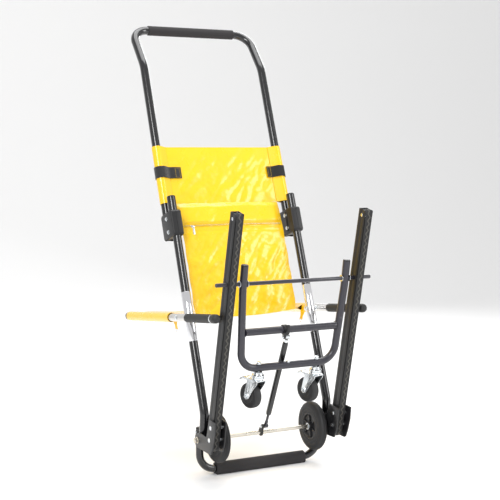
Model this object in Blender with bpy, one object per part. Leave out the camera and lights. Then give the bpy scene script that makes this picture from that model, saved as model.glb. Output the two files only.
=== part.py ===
"""Stair chair (evacuation chair), standing on its foot bar as it is stored. Metres, +Z up.

X is the width, +Y the side the patient faces, and the origin is the middle of the flat
under the foot bar, on the floor.
"""

import math

import bmesh
import bpy
from mathutils import Matrix, Vector

# Driving dimensions, in metres and degrees.
MAIN_X = 0.210  # main tubes, from the middle of the chair
MAIN_R = 0.0136
HANDLE_X = 0.2125
HANDLE_R = 0.0131
HANDLE_AHEAD = 0.046  # handle tube in front of the main tube, square to it
ARM_X = 0.2435
ARM_R = 0.0118
GRIP_R = 0.0131
LEAN = math.atan(0.37)  # main tubes, from upright
TRACK_LEAN = math.atan(0.2325)
TRACK_FOOT = (-0.1247, 0.213)  # a point on the middle line of the tracks, as (Y, Z)
LOOP_OUT = 0.0178  # belt loop, outside radius round a roller
BELT_THICK = 0.0035
ROLLER_TOP = 0.5865  # along the track
ROLLER_FOOT = -0.0982
AXLE = (-0.0375, 0.121)
AXLE_R = 0.006
WHEEL_R = 0.075
WHEEL_IN, WHEEL_OUT = 0.151, 0.1785
FOOT_X = 0.2045
FOOT_R = 0.0115
FOAM_Z = 0.018
KICK = (-0.213, 0.5976)  # kick frame pivot rod
KICK_R = 0.011
CASTOR_X = 0.0965
CASTOR_R = 0.0375
CASTOR_TURN = 12.0
MAIN_TOP = (0.186, 0.826)  # upper end of the main tubes, as (Y, Z)
PIVOT = (MAIN_TOP[0] + 0.37 * (0.4735 - MAIN_TOP[1]), 0.4735)  # seat pivot
ARM_SLOPE = math.radians(6.4)
STRUT_X = -0.006
SLEEVE_R = 0.0157  # back cover round the handle tubes
CLEAR = 0.0003  # gap between two pieces

ALONG_MAIN = Vector((0, math.sin(LEAN), math.cos(LEAN)))
AHEAD_MAIN = Vector((0, math.cos(LEAN), -math.sin(LEAN)))
ALONG_ARM = Vector((0, math.cos(ARM_SLOPE), -math.sin(ARM_SLOPE)))
ABOVE_ARM = Vector((0, math.sin(ARM_SLOPE), math.cos(ARM_SLOPE)))

for old in list(bpy.data.objects):
    bpy.data.objects.remove(old, do_unlink=True)

LOOKS = {
    "black_tube": ((0.012, 0.012, 0.013), 0.0, 0.16),
    "chrome": ((0.80, 0.80, 0.82), 1.0, 0.10),
    "zinc": ((0.62, 0.63, 0.65), 1.0, 0.30),
    "grey_paint": ((0.048, 0.045, 0.060), 0.0, 0.34),
    "track_paint": ((0.035, 0.035, 0.036), 0.0, 0.52),
    "belt": ((0.060, 0.060, 0.058), 0.0, 0.70),
    "steel": ((0.66, 0.66, 0.64), 1.0, 0.30),
    "plate": ((0.022, 0.022, 0.023), 0.0, 0.45),
    "foam": ((0.052, 0.048, 0.050), 0.0, 0.85),
    "yellow": ((1.0, 0.72, 0.0), 0.0, 0.28),
    "black_plastic": ((0.020, 0.020, 0.021), 0.0, 0.45),
    "tyre": ((0.030, 0.030, 0.031), 0.0, 0.68),
    "hub": ((0.045, 0.045, 0.047), 0.0, 0.42),
    "webbing": ((0.015, 0.015, 0.016), 0.0, 0.80),
}


def look(name):
    """A fresh material of one of the looks, for one piece."""
    colour, metal, rough = LOOKS[name]
    made = bpy.data.materials.new(name)
    made.use_nodes = True
    shader = made.node_tree.nodes["Principled BSDF"]
    shader.inputs["Base Color"].default_value = (*colour, 1)
    shader.inputs["Metallic"].default_value = metal
    shader.inputs["Roughness"].default_value = rough
    made.diffuse_color = (*colour, 1)
    return made


def piece(name, mesh, kind=None, origin=(0, 0, 0)):
    """An object from a bmesh drawn in world metres, with its origin moved to a joint."""
    mesh.normal_update()
    bmesh.ops.recalc_face_normals(mesh, faces=mesh.faces)
    if mesh.calc_volume(signed=True) < 0:
        bmesh.ops.reverse_faces(mesh, faces=mesh.faces)
    for face in mesh.faces:
        face.smooth = True
    for edge in mesh.edges:
        edge.smooth = len(edge.link_faces) == 2 and edge.calc_face_angle() < 0.62
    bmesh.ops.translate(mesh, verts=mesh.verts, vec=-Vector(origin))
    data = bpy.data.meshes.new(name)
    mesh.to_mesh(data)
    mesh.free()
    made = bpy.data.objects.new(name, data)
    made.location = origin
    bpy.context.collection.objects.link(made)
    if kind:
        data.materials.append(look(kind))
    return made


def boolean(target, name, mesh, operation="DIFFERENCE"):
    """Cuts a bmesh from an object, or joins it on."""
    cutter = piece(name, mesh)
    cutter.hide_render = True
    cutter.display_type = "WIRE"
    change = target.modifiers.new(name, "BOOLEAN")
    change.operation = operation
    change.solver = "EXACT"
    change.object = cutter
    return cutter


def yz(x, point):
    return Vector((x, point[0], point[1]))


def track(x, along, ahead):
    """A point given along and in front of the middle line of the tracks."""
    sine, cosine = math.sin(TRACK_LEAN), math.cos(TRACK_LEAN)
    return Vector((x, TRACK_FOOT[0] - along * sine + ahead * cosine,
                   TRACK_FOOT[1] + along * cosine + ahead * sine))


def rounded(corners, radii, steps=5):
    """The path through the corners, each turned into an arc."""
    points = [Vector(corners[0])]
    for before, here, after, radius in zip(corners, corners[1:], corners[2:], radii):
        here = Vector(here)
        back = (Vector(before) - here).normalized()
        on = (Vector(after) - here).normalized()
        half = back.angle(on) / 2
        reach = radius / math.tan(half)
        centre = here + (back + on).normalized() * radius / math.sin(half)
        first = here + back * reach - centre
        last = here + on * reach - centre
        turn = first.angle(last)
        axis = first.cross(last).normalized()
        for step in range(steps + 1):
            points.append(centre + Matrix.Rotation(turn * step / steps, 3, axis) @ first)
    points.append(Vector(corners[-1]))
    return points


def tube(points, radius, bore=0.0, sides=16):
    """A round tube or rod along a path. A tube is open at both ends."""
    made = bmesh.new()
    tangents = []
    for index in range(len(points)):
        low, high = max(index - 1, 0), min(index + 1, len(points) - 1)
        tangents.append((points[high] - points[low]).normalized())
    side = tangents[0].orthogonal().normalized()
    if abs(tangents[0].x) < 0.5:
        side = Vector((1, 0, 0))
        side = (side - side.dot(tangents[0]) * tangents[0]).normalized()
    rings = []
    for index, (point, tangent) in enumerate(zip(points, tangents)):
        if index:
            side = tangents[index - 1].rotation_difference(tangent) @ side
        up = tangent.cross(side)
        ring = []
        for size in (radius, bore):
            if not size:
                ring.append(None)
                continue
            turned = (2 * math.pi * k / sides for k in range(sides))
            ring.append([made.verts.new(point + size * (math.cos(a) * side + math.sin(a) * up))
                         for a in turned])
        rings.append(ring)
    for (outer, inner), (outer_on, inner_on) in zip(rings, rings[1:]):
        for k in range(sides):
            j = (k + 1) % sides
            made.faces.new((outer[k], outer[j], outer_on[j], outer_on[k]))
            if bore:
                made.faces.new((inner[j], inner[k], inner_on[k], inner_on[j]))
    for outer, inner in (rings[0], rings[-1]):
        if not bore:
            made.faces.new(outer)
            continue
        for k in range(sides):
            j = (k + 1) % sides
            made.faces.new((outer[k], outer[j], inner[j], inner[k]))
    return made


def turned(centre, axis, profile, sides=16, loop=False):
    """A turned piece from (along, radius) pairs. A loop profile leaves a bore through it."""
    made = bmesh.new()
    centre, axis = Vector(centre), Vector(axis).normalized()
    side = axis.orthogonal().normalized()
    up = axis.cross(side)
    rings = []
    for along, radius in profile:
        if radius < 1e-6:
            rings.append([made.verts.new(centre + axis * along)])
            continue
        turns = (2 * math.pi * k / sides for k in range(sides))
        rings.append([made.verts.new(centre + axis * along
                                     + radius * (math.cos(a) * side + math.sin(a) * up))
                      for a in turns])
    pairs = list(zip(rings, rings[1:]))
    if loop:
        pairs.append((rings[-1], rings[0]))
    for one, two in pairs:
        for k in range(sides):
            j = (k + 1) % sides
            if len(one) == 1:
                made.faces.new((one[0], two[j], two[k]))
            elif len(two) == 1:
                made.faces.new((one[k], one[j], two[0]))
            else:
                made.faces.new((one[k], one[j], two[j], two[k]))
    if not loop:
        for ring in (rings[0], rings[-1]):
            if len(ring) > 1:
                made.faces.new(ring)
    return made


def slab(outline, x_low, x_high):
    """A flat plate from a (Y, Z) outline, between two values of X."""
    made = bmesh.new()
    low = [made.verts.new(yz(x_low, p)) for p in outline]
    high = [made.verts.new(yz(x_high, p)) for p in outline]
    made.faces.new(low)
    made.faces.new(high)
    for k in range(len(outline)):
        j = (k + 1) % len(outline)
        made.faces.new((low[k], low[j], high[j], high[k]))
    return made


def cells(stations, quads, active=lambda quad, step: True):
    """A body filled cell by cell: stations hold the same points moved along, quads join them."""
    made = bmesh.new()
    grid = [[made.verts.new(p) for p in points] for points in stations]
    edges = {}
    for q, quad in enumerate(quads):
        for k in range(4):
            key = frozenset((quad[k], quad[(k + 1) % 4]))
            edges.setdefault(key, []).append(q)
    steps = len(stations) - 1
    for q, quad in enumerate(quads):
        for step in range(steps):
            if not active(q, step):
                continue
            if step == 0 or not active(q, step - 1):
                made.faces.new([grid[step][v] for v in quad])
            if step == steps - 1 or not active(q, step + 1):
                made.faces.new([grid[step + 1][v] for v in quad])
            for k in range(4):
                one, two = quad[k], quad[(k + 1) % 4]
                others = [o for o in edges[frozenset((one, two))] if o != q]
                if any(active(o, step) for o in others):
                    continue
                made.faces.new((grid[step][one], grid[step][two],
                                grid[step + 1][two], grid[step + 1][one]))
    loose = [v for v in made.verts if not v.link_faces]
    bmesh.ops.delete(made, geom=loose, context="VERTS")
    return made


def rod(x_low, x_high, point, radius, sides=12):
    return tube([yz(x_low, point), yz(x_high, point)], radius, sides=sides)


def bored(obj, holes, x_low, x_high):
    """Cross holes through a piece, each a (Y, Z) point and a radius."""
    for number, (point, radius) in enumerate(holes):
        boolean(obj, f"{obj.name}_hole{number}", rod(x_low, x_high, point, radius))


def circle(centre, radius, start, end, steps):
    """Arc points in the (Y, Z) plane, angles from +Y towards +Z in degrees."""
    angles = [math.radians(start + (end - start) * k / steps) for k in range(steps + 1)]
    return [(centre[0] + radius * math.cos(a), centre[1] + radius * math.sin(a)) for a in angles]


PLATE_BOLTS = ((-0.116, 0.137), (-0.1255, 0.175))
LEG_BOLT = (0.0, 0.134)

# Fixed part: tracks, plates, axle and foot bar.
for word, hand in (("left", -1), ("right", 1)):
    middle = hand * MAIN_X
    wall, half, low, high = 0.0016, 0.013, -0.0145, 0.019
    section = [(-half, low), (-half + wall, low), (-half + wall, high - wall), (-half, high),
               (half - wall, low), (half, low), (half, high), (half - wall, high - wall)]
    ends = (ROLLER_FOOT - 0.012, ROLLER_TOP + 0.016)
    stations = [[track(middle + x, along, v) for x, v in section] for along in ends]
    rail = piece(f"rail_{word}", cells(stations, [(0, 1, 2, 3), (2, 7, 6, 3), (4, 5, 6, 7)]),
                 "track_paint")
    rollers = [track(0, along, -0.0012) for along in (ROLLER_TOP, ROLLER_FOOT)]
    holes = [((p.y, p.z), 0.0043) for p in rollers]
    holes += [(point, 0.0043) for point in PLATE_BOLTS] + [(KICK, 0.0062)]
    bored(rail, holes, middle - 0.02, middle + 0.02)

    loop = []
    for along, start in ((ROLLER_TOP, 0), (ROLLER_FOOT, 180)):
        for k in range(11):
            angle = math.radians(start + 18 * k)
            loop.append((along, math.cos(angle), math.sin(angle)))
    stations, size = [], len(loop)
    for x in (middle - 0.011, middle + 0.011):
        rings = []
        for radius in (LOOP_OUT, LOOP_OUT - BELT_THICK):
            rings += [track(x, along + radius * s, -0.0012 + radius * c) for along, c, s in loop]
        stations.append(rings)
    quads = [(k, (k + 1) % size, size + (k + 1) % size, size + k) for k in range(size)]
    piece(f"belt_{word}", cells(stations, quads), "belt")

    for place, point in zip(("top", "foot"), rollers):
        drum = LOOP_OUT - BELT_THICK - CLEAR
        profile = [(-0.0155, 0.0055), (-0.0134, 0.0066), (-0.0134, 0.004), (-0.0105, 0.004),
                   (-0.0105, drum), (0.0105, drum), (0.0105, 0.004), (0.0134, 0.004),
                   (0.0134, 0.0066), (0.0155, 0.0055)]
        centre = (middle, point.y, point.z)
        piece(f"roller_{place}_{word}", turned(centre, (1, 0, 0), profile, 12), "zinc", centre)

    inner = [(-0.100, 0.200), (-0.150, 0.193), (-0.1385, 0.125), (-0.125, 0.100),
             (-0.020, 0.098), (0.010, 0.106), (0.013, 0.140), (0.008, 0.149), (-0.012, 0.153),
             (-0.050, 0.156), (-0.084, 0.168), (-0.092, 0.190)]
    outer = [(-0.115, 0.199), (-0.158, 0.196), (-0.154, 0.160), (-0.141, 0.122),
             (-0.130, 0.100), (-0.122, 0.096), (-0.030, 0.099), (-0.023, 0.106),
             (-0.021, 0.130), (-0.027, 0.140), (-0.060, 0.146), (-0.098, 0.142),
             (-0.104, 0.160)]
    ends = sorted((hand * 0.188, hand * 0.192))
    plate = piece(f"inner_plate_{word}", slab(inner, *ends), "plate")
    bored(plate, [(AXLE, AXLE_R + CLEAR), (LEG_BOLT, 0.0043)]
          + [(point, 0.0043) for point in PLATE_BOLTS], ends[0] - 0.01, ends[1] + 0.01)
    ends = sorted((hand * 0.2265, hand * 0.2295))
    plate = piece(f"outer_plate_{word}", slab(outer, *ends), "plate")
    bored(plate, [(AXLE, AXLE_R + CLEAR)] + [(point, 0.0043) for point in PLATE_BOLTS],
          ends[0] - 0.01, ends[1] + 0.01)

    for number, point in enumerate(PLATE_BOLTS):
        profile = [(0.1842, 0.005), (0.1877, 0.006), (0.1877, 0.004), (0.1923, 0.004),
                   (0.1923, 0.006), (0.1967, 0.006), (0.1967, 0.004), (0.2233, 0.004),
                   (0.2233, 0.006), (0.2262, 0.006), (0.2262, 0.004), (0.2298, 0.004),
                   (0.2298, 0.0066), (0.2301, 0.0058)]
        piece(f"plate_bolt{number + 1}_{word}",
              turned(yz(0, point), (hand, 0, 0), profile, 8), "zinc")
    profile = [(0.1848, 0.005), (0.1877, 0.006), (0.1877, 0.004), (0.2163, 0.004),
               (0.2163, 0.0066), (0.2195, 0.0055)]
    piece(f"leg_bolt_{word}", turned(yz(0, LEG_BOLT), (hand, 0, 0), profile, 10), "zinc")
    bore = AXLE_R + CLEAR
    profile = [(0.2298, bore), (0.2298, 0.0098), (0.2311, 0.0098), (0.2311, 0.0076),
               (0.2385, 0.0070), (0.2385, bore)]
    piece(f"axle_nut_{word}", turned(yz(0, AXLE), (hand, 0, 0), profile, 14, True), "steel")

piece("axle", rod(-0.2405, 0.2405, AXLE, AXLE_R, 14), "steel")
piece("kick_pivot_rod", rod(-0.2547, 0.2547, KICK, 0.0058, 14), "zinc")

leg_top = 0.145
corners = [(-FOOT_X, 0, leg_top), (-FOOT_X, 0, FOAM_Z), (FOOT_X, 0, FOAM_Z), (FOOT_X, 0, leg_top)]
foot_bar = piece("foot_bar", tube(rounded(corners, (0.05, 0.05)), FOOT_R, 0.0095, 14), "black_tube")
bored(foot_bar, [(LEG_BOLT, 0.0043)], -0.24, 0.24)

outside = circle((0, FOAM_Z), 0.01825, 0, 180, 9)
outside += [(-0.0178, 0.010), (-0.0158, 0.004), (-0.012, 0.0), (0.012, 0.0), (0.0158, 0.004),
            (0.0178, 0.010)]
size = len(outside)
inside = circle((0, FOAM_Z), FOOT_R + 0.0005, 0, 180, 9)
inside += circle((0, FOAM_Z), FOOT_R + 0.0005, 180, 360, 7)[1:-1]
stations = [[yz(x, p) for p in outside + inside] for x in (-0.153, 0.153)]
quads = [(k, (k + 1) % size, size + (k + 1) % size, size + k) for k in range(size)]
piece("foot_foam", cells(stations, quads), "foam")

# Wheels on the axle.
for word, hand in (("left", -1), ("right", 1)):
    centre = yz(0, AXLE)
    rim = 0.0428
    profile = [(WHEEL_IN, rim), (WHEEL_IN + 0.0015, 0.060), (WHEEL_IN + 0.004, 0.0705),
               (WHEEL_IN + 0.009, WHEEL_R), (WHEEL_OUT - 0.009, WHEEL_R),
               (WHEEL_OUT - 0.004, 0.0705), (WHEEL_OUT - 0.0015, 0.060), (WHEEL_OUT, rim)]
    piece(f"tyre_{word}", turned(centre, (hand, 0, 0), profile, 32, True), "tyre", centre)
    rim -= CLEAR
    bore = AXLE_R + CLEAR
    profile = [(WHEEL_IN - 0.004, bore), (WHEEL_IN - 0.004, 0.014), (WHEEL_IN + 0.006, 0.016),
               (WHEEL_IN + 0.006, 0.034), (WHEEL_IN, 0.037), (WHEEL_IN, rim),
               (WHEEL_OUT, rim), (WHEEL_OUT, 0.037), (WHEEL_OUT - 0.006, 0.034),
               (WHEEL_OUT - 0.006, 0.016), (WHEEL_OUT + 0.004, 0.014), (WHEEL_OUT + 0.004, bore)]
    piece(f"hub_{word}", turned(centre, (hand, 0, 0), profile, 18, True), "hub", centre)

# Back frame, which folds about the axle.
axle_origin = yz(0, AXLE)
for word, hand in (("left", -1), ("right", 1)):
    x = hand * MAIN_X
    corners = [(x, *MAIN_TOP), (x, MAIN_TOP[0] + 0.37 * (0.200 - MAIN_TOP[1]), 0.200), (x, AXLE[0], AXLE[1] - 0.015)]
    main = piece(f"main_tube_{word}", tube(rounded(corners, (0.06,), 4), MAIN_R, 0.0118),
                 "black_tube", axle_origin)
    bored(main, [(AXLE, AXLE_R + CLEAR), (PIVOT, 0.0043)], x - 0.03, x + 0.03)

    ends = [yz(x, (MAIN_TOP[0] + 0.37 * (z - MAIN_TOP[1]), z)) for z in (0.403, 0.545)]
    collar = piece(f"collar_{word}", tube(ends, 0.0147, MAIN_R + CLEAR), "chrome",
                   axle_origin)
    bored(collar, [(PIVOT, 0.0043)], x - 0.03, x + 0.03)

    low, high = 0.252, 0.334
    outline = []
    for along, ahead in ((low, -0.0150), (low, 0.0585), (low + 0.004, 0.0625),
                         (high - 0.004, 0.0625), (high, 0.0585), (high, -0.0150),
                         (high - 0.004, -0.0185), (low + 0.004, -0.0185)):
        point = yz(0, PIVOT) + along * ALONG_MAIN + ahead * AHEAD_MAIN
        outline.append((point.y, point.z))
    ends = sorted((hand * 0.1925, hand * 0.2270))
    clamp = piece(f"clamp_{word}", slab(outline, *ends), "black_plastic", axle_origin)
    for label, cx, ahead, radius in (("main", MAIN_X, 0, MAIN_R), ("handle", HANDLE_X,
                                                                   HANDLE_AHEAD, HANDLE_R)):
        base = yz(hand * cx, PIVOT) + ahead * AHEAD_MAIN
        path = [base + 0.2 * ALONG_MAIN, base + 0.4 * ALONG_MAIN]
        boolean(clamp, f"clamp_{word}_{label}", tube(path, radius + CLEAR))

    profile = [(0.1915, 0.006), (0.1945, 0.0072), (0.1950, 0.004), (0.2252, 0.004),
               (0.2252, 0.0072), (0.2312, 0.0072), (0.2312, 0.004), (0.2557, 0.004),
               (0.2557, 0.0072), (0.2585, 0.006)]
    piece(f"seat_pivot_{word}", turned(yz(0, PIVOT), (hand, 0, 0), profile, 12), "steel",
          axle_origin)


# Back cover: a sleeve round each handle tube above, one thin panel below.
def back_section(point, half_width, sleeves, sag=0.0):
    """Points of one level of the back cover: two sleeve rings and the panel between them."""
    rows = []
    for hand in (-1, 1):
        for radius in (HANDLE_R + 0.0008, SLEEVE_R):
            for k in range(12):
                angle = math.pi * 2 * (k + 0.5) / 12
                rows.append(sleeves + Vector((hand * (HANDLE_X - radius * math.cos(angle)), 0, 0))
                            + AHEAD_MAIN * radius * math.sin(angle))
    for depth in (1, -1):
        for k in range(1, 12):
            across = -1 + 2 * k / 12
            rows.append(point + Vector((half_width * across, 0, 0))
                        + AHEAD_MAIN * (0.0013 * depth + sag * (1 - across * across)))
    return rows


quads = []
for base in (0, 24):
    quads += [(base + k, base + (k + 1) % 12, base + 12 + (k + 1) % 12, base + 12 + k)
              for k in range(12)]
front = [12] + [48 + k for k in range(11)] + [36]
rear = [23] + [59 + k for k in range(11)] + [47]
panel_first = len(quads)
quads += [(front[k], front[k + 1], rear[k + 1], rear[k]) for k in range(12)]
levels = []
for z, y, half, sag in ((0.982, 0.2915, 0.199, 0.0), (0.93, 0.2720, 0.199, -0.002),
                        (0.87, 0.2496, 0.199, -0.003), (0.816, 0.2294, 0.199, -0.004),
                        (0.790, 0.2140, 0.182, -0.006), (0.7235, 0.1766, 0.177, -0.009),
                        (0.640, 0.1450, 0.177, -0.007), (0.560, 0.1170, 0.177, -0.004),
                        (0.489, 0.0945, 0.177, 0.0), (0.464, 0.0850, 0.172, 0.002)):
    anchor = Vector((0, y, z))
    base = yz(0, PIVOT) + AHEAD_MAIN * HANDLE_AHEAD
    along = (anchor - base).dot(ALONG_MAIN)
    points = back_section(anchor, half, base + along * ALONG_MAIN, sag)
    if len(levels) > 3:
        for k, (a, d) in ((12, (-1, 1)), (36, (1, 1)), (23, (-1, -1)), (47, (1, -1))):
            points[k] = anchor + Vector((half * a, 0, 0)) + AHEAD_MAIN * 0.0013 * d
    levels.append(points)
piece("back_fabric", cells(levels, quads, lambda q, step: step < 3 or q >= panel_first),
      "yellow", axle_origin)

# Strap loops round the sleeves, and the slider of the pocket zip.
for word, hand, reach in (("left", -1, 0.062), ("right", 1, 0.040)):
    rows = []
    sleeve = SLEEVE_R + CLEAR
    for z in (0.8815, 0.917):
        centre = yz(hand * HANDLE_X, PIVOT) + AHEAD_MAIN * HANDLE_AHEAD
        centre += ALONG_MAIN * ((z - centre.z) / ALONG_MAIN.z)
        ring = []
        for radius in (sleeve, sleeve + 0.0016):
            ring += [(hand * (reach + sleeve) * -1, radius)]
            ring += [(hand * radius * math.sin(a), -radius * math.cos(a))
                     for a in (math.pi * k / 10 for k in range(11))][::-1]
            ring += [(hand * (reach + sleeve) * -1, -radius)]
        rows.append([centre + Vector((across, 0, 0)) + AHEAD_MAIN * ahead for across, ahead in ring])
    quads = [(k, k + 1, 14 + k, 13 + k) for k in range(12)]
    piece(f"strap_{word}", cells(rows, quads), "webbing", axle_origin)

zip_place = Vector((-0.150, 0.1650, 0.735))
made = bmesh.new()
bmesh.ops.create_cube(made, size=1, matrix=Matrix.Translation(zip_place)
                      @ Matrix.Rotation(-LEAN, 4, "X") @ Matrix.Diagonal((0.012, 0.0028, 0.009, 1)))
zip_slider = piece("zip_slider", made, "zinc", zip_place)
made = bmesh.new()
bmesh.ops.create_cube(made, size=1, matrix=Matrix.Translation(zip_place - 0.016 * ALONG_MAIN)
                      @ Matrix.Rotation(-LEAN, 4, "X") @ Matrix.Diagonal((0.0065, 0.0018, 0.026, 1)))
boolean(zip_slider, "zip_pull", made, "UNION")

# Handle, which slides down through the clamps.
base = yz(0, PIVOT) + AHEAD_MAIN * HANDLE_AHEAD
low = base + ALONG_MAIN * ((0.705 - base.z) / ALONG_MAIN.z)
kink = base + ALONG_MAIN * ((1.240 - base.z) / ALONG_MAIN.z)
bar = Vector((0, 0.491, 1.361))
side = Vector((HANDLE_X, 0, 0))
corners = [low - side, kink - side, bar - side, bar + side, kink + side, low + side]
path = rounded(corners, (0.10, 0.055, 0.055, 0.10), 4)
piece("handle_tube", tube(path, HANDLE_R, 0.0115, 14), "black_tube", low)
profile = [(-0.155, 0.0134), (-0.155, 0.0150), (-0.153, 0.0158), (0.153, 0.0158),
           (0.155, 0.0150), (0.155, 0.0134)]
piece("handle_grip", turned(bar, (1, 0, 0), profile, 18, True), "foam", low)

# Seat, which folds up about its pivot.
seat_origin = yz(0, PIVOT)
for word, hand in (("left", -1), ("right", 1)):
    pivot = yz(hand * ARM_X, PIVOT)
    path = [pivot - 0.245 * ALONG_ARM, pivot + 0.395 * ALONG_ARM]
    arm = piece(f"seat_arm_{word}", tube(path, ARM_R, 0.0102), "steel", seat_origin)
    bored(arm, [(PIVOT, 0.0043)], pivot.x - 0.02, pivot.x + 0.02)
    fit = ARM_R + 0.0005
    profile = [(-0.262, 0.0), (-0.261, 0.0060), (-0.257, 0.0108), (-0.251, GRIP_R),
               (-0.231, GRIP_R), (-0.229, 0.0127), (-0.225, 0.0127), (-0.223, GRIP_R),
               (-0.060, GRIP_R), (-0.058, fit), (-0.247, fit), (-0.247, 0.0)]
    piece(f"arm_grip_{word}", turned(pivot, ALONG_ARM, profile, 14), "black_plastic",
          seat_origin)
    profile = [(0.408, 0.0), (0.407, 0.009), (0.404, 0.0126), (0.396, 0.0130),
               (0.392, 0.0130), (0.392, fit), (0.3975, fit), (0.3975, 0.0)]
    piece(f"arm_cap_{word}", turned(pivot, ALONG_ARM, profile, 14), "black_plastic",
          seat_origin)

quads = []
for start in (0, 24):
    quads += [(start + k, start + (k + 1) % 12, start + 12 + (k + 1) % 12, start + 12 + k)
              for k in range(12)]
over = [13] + [48 + k for k in range(13)] + [37]
under = [12] + [61 + k for k in range(13)] + [36]
panel_first = len(quads)
quads += [(over[k], over[k + 1], under[k + 1], under[k]) for k in range(14)]
levels = []
for along, rise, sag in ((0.056, 0.012, 0.022), (0.088, 0.012, 0.022), (0.15, 0.016, 0.022),
                         (0.24, 0.018, 0.022), (0.33, 0.018, 0.018), (0.389, 0.016, 0.012)):
    centre = seat_origin + along * ALONG_ARM
    rows = []
    for hand in (-1, 1):
        for radius in (ARM_R + 0.0008, ARM_R + 0.0030):
            for k in range(12):
                angle = math.pi * (2 * (k + 0.5) / 12 + 1 / 6)
                rows.append(centre + Vector((hand * (ARM_X - radius * math.cos(angle)), 0, 0))
                            + ABOVE_ARM * radius * math.sin(angle))
    for offset in (0.0013, -0.0013):
        for k in range(13):
            across = -1 + 2 * k / 12
            height = rise - sag * (1 - across * across)
            rows.append(centre + Vector((0.205 * across, 0, 0)) + ABOVE_ARM * (height + offset))
    levels.append(rows)
piece("seat_fabric", cells(levels, quads, lambda q, step: step > 0 or q < panel_first),
      "yellow", seat_origin)

# Kick frame, which swings back about the rod through the tracks.
kick_origin = yz(0, KICK)
lean = 0.171
arms = [(z, x) for z, x in ((0.649, 0.168), (0.575, 0.168), (0.347, 0.1545))]
corners = [(-x, KICK[0] - lean * (z - KICK[1]), z) for z, x in arms]
corners += [(x, KICK[0] - lean * (z - KICK[1]), z) for z, x in arms[::-1]]
kick = piece("kick_frame", tube(rounded(corners, (0.3, 0.052, 0.052, 0.3), 4), KICK_R, 0.009, 14),
             "grey_paint", kick_origin)
bored(kick, [(KICK, 0.0061)], -0.19, 0.19)
cross = (-0.187, 0.455)
boolean(kick, "kick_cross_bar", rod(-0.155, 0.155, cross, 0.0108, 14), "UNION")

strut_way = Vector((0, cross[0] - AXLE[0], cross[1] - AXLE[1])).normalized()
heel = Vector((STRUT_X, *AXLE)) + 0.022 * strut_way
tip = Vector((STRUT_X, *AXLE)) + 0.340 * strut_way
angle = math.degrees(math.atan2(strut_way.z, strut_way.y))
outline = circle(cross, 0.0148, angle - 75, angle + 75, 10)
outline += circle((tip.y, tip.z), 0.0065, angle + 100, angle + 260, 6)
bracket = piece("strut_bracket", slab(outline, -0.0190, -0.0140), "black_plastic", kick_origin)
outline = circle(cross, 0.0145, -60, 210, 12) + [(cross[0] - 0.024, cross[1] - 0.002),
                                               (cross[0] - 0.028, cross[1] + 0.018),
                                               (cross[0] - 0.031, cross[1] + 0.018),
                                               (cross[0] - 0.029, cross[1] - 0.012),
                                               (cross[0] - 0.010, cross[1] - 0.016)]
boolean(bracket, "belt_hook", slab(outline, -0.028, -0.0185), "UNION")
bored(bracket, [(cross, KICK_R + CLEAR)], -0.04, 0.0)

# Gas strut from the axle to the kick frame.
outline = circle(AXLE, 0.0115, angle + 80, angle + 280, 10)
outline += circle((heel.y, heel.z), 0.0068, angle - 80, angle + 80, 6)
clamp = piece("strut_clamp", slab(outline, -0.0205, -0.0145), "black_plastic")
bored(clamp, [(AXLE, AXLE_R + CLEAR), ((heel.y, heel.z), 0.0033)], -0.03, -0.01)
strut = piece("strut_rod", tube([heel, heel + 0.235 * strut_way], 0.004, sides=12), "chrome",
              heel)
boolean(strut, "strut_eye", rod(-0.0130, 0.0010, (heel.y, heel.z), 0.0062), "UNION")
boolean(strut, "strut_pin", rod(-0.0235, -0.0060, (heel.y, heel.z), 0.0030, 12), "UNION")
profile = [(0.043, 0.0043), (0.043, 0.0068), (0.046, 0.0076), (0.298, 0.0076), (0.302, 0.0050),
           (0.318, 0.0046), (0.318, 0.0), (0.290, 0.0), (0.290, 0.0043)]
profile = [profile[6]] + profile[5::-1] + [profile[8], profile[7]]
cylinder = piece("strut_cylinder", turned(heel, strut_way, profile, 14), "black_tube", heel)
boolean(cylinder, "strut_top_eye", rod(-0.0132, 0.0012, (tip.y, tip.z), 0.0070), "UNION")

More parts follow.
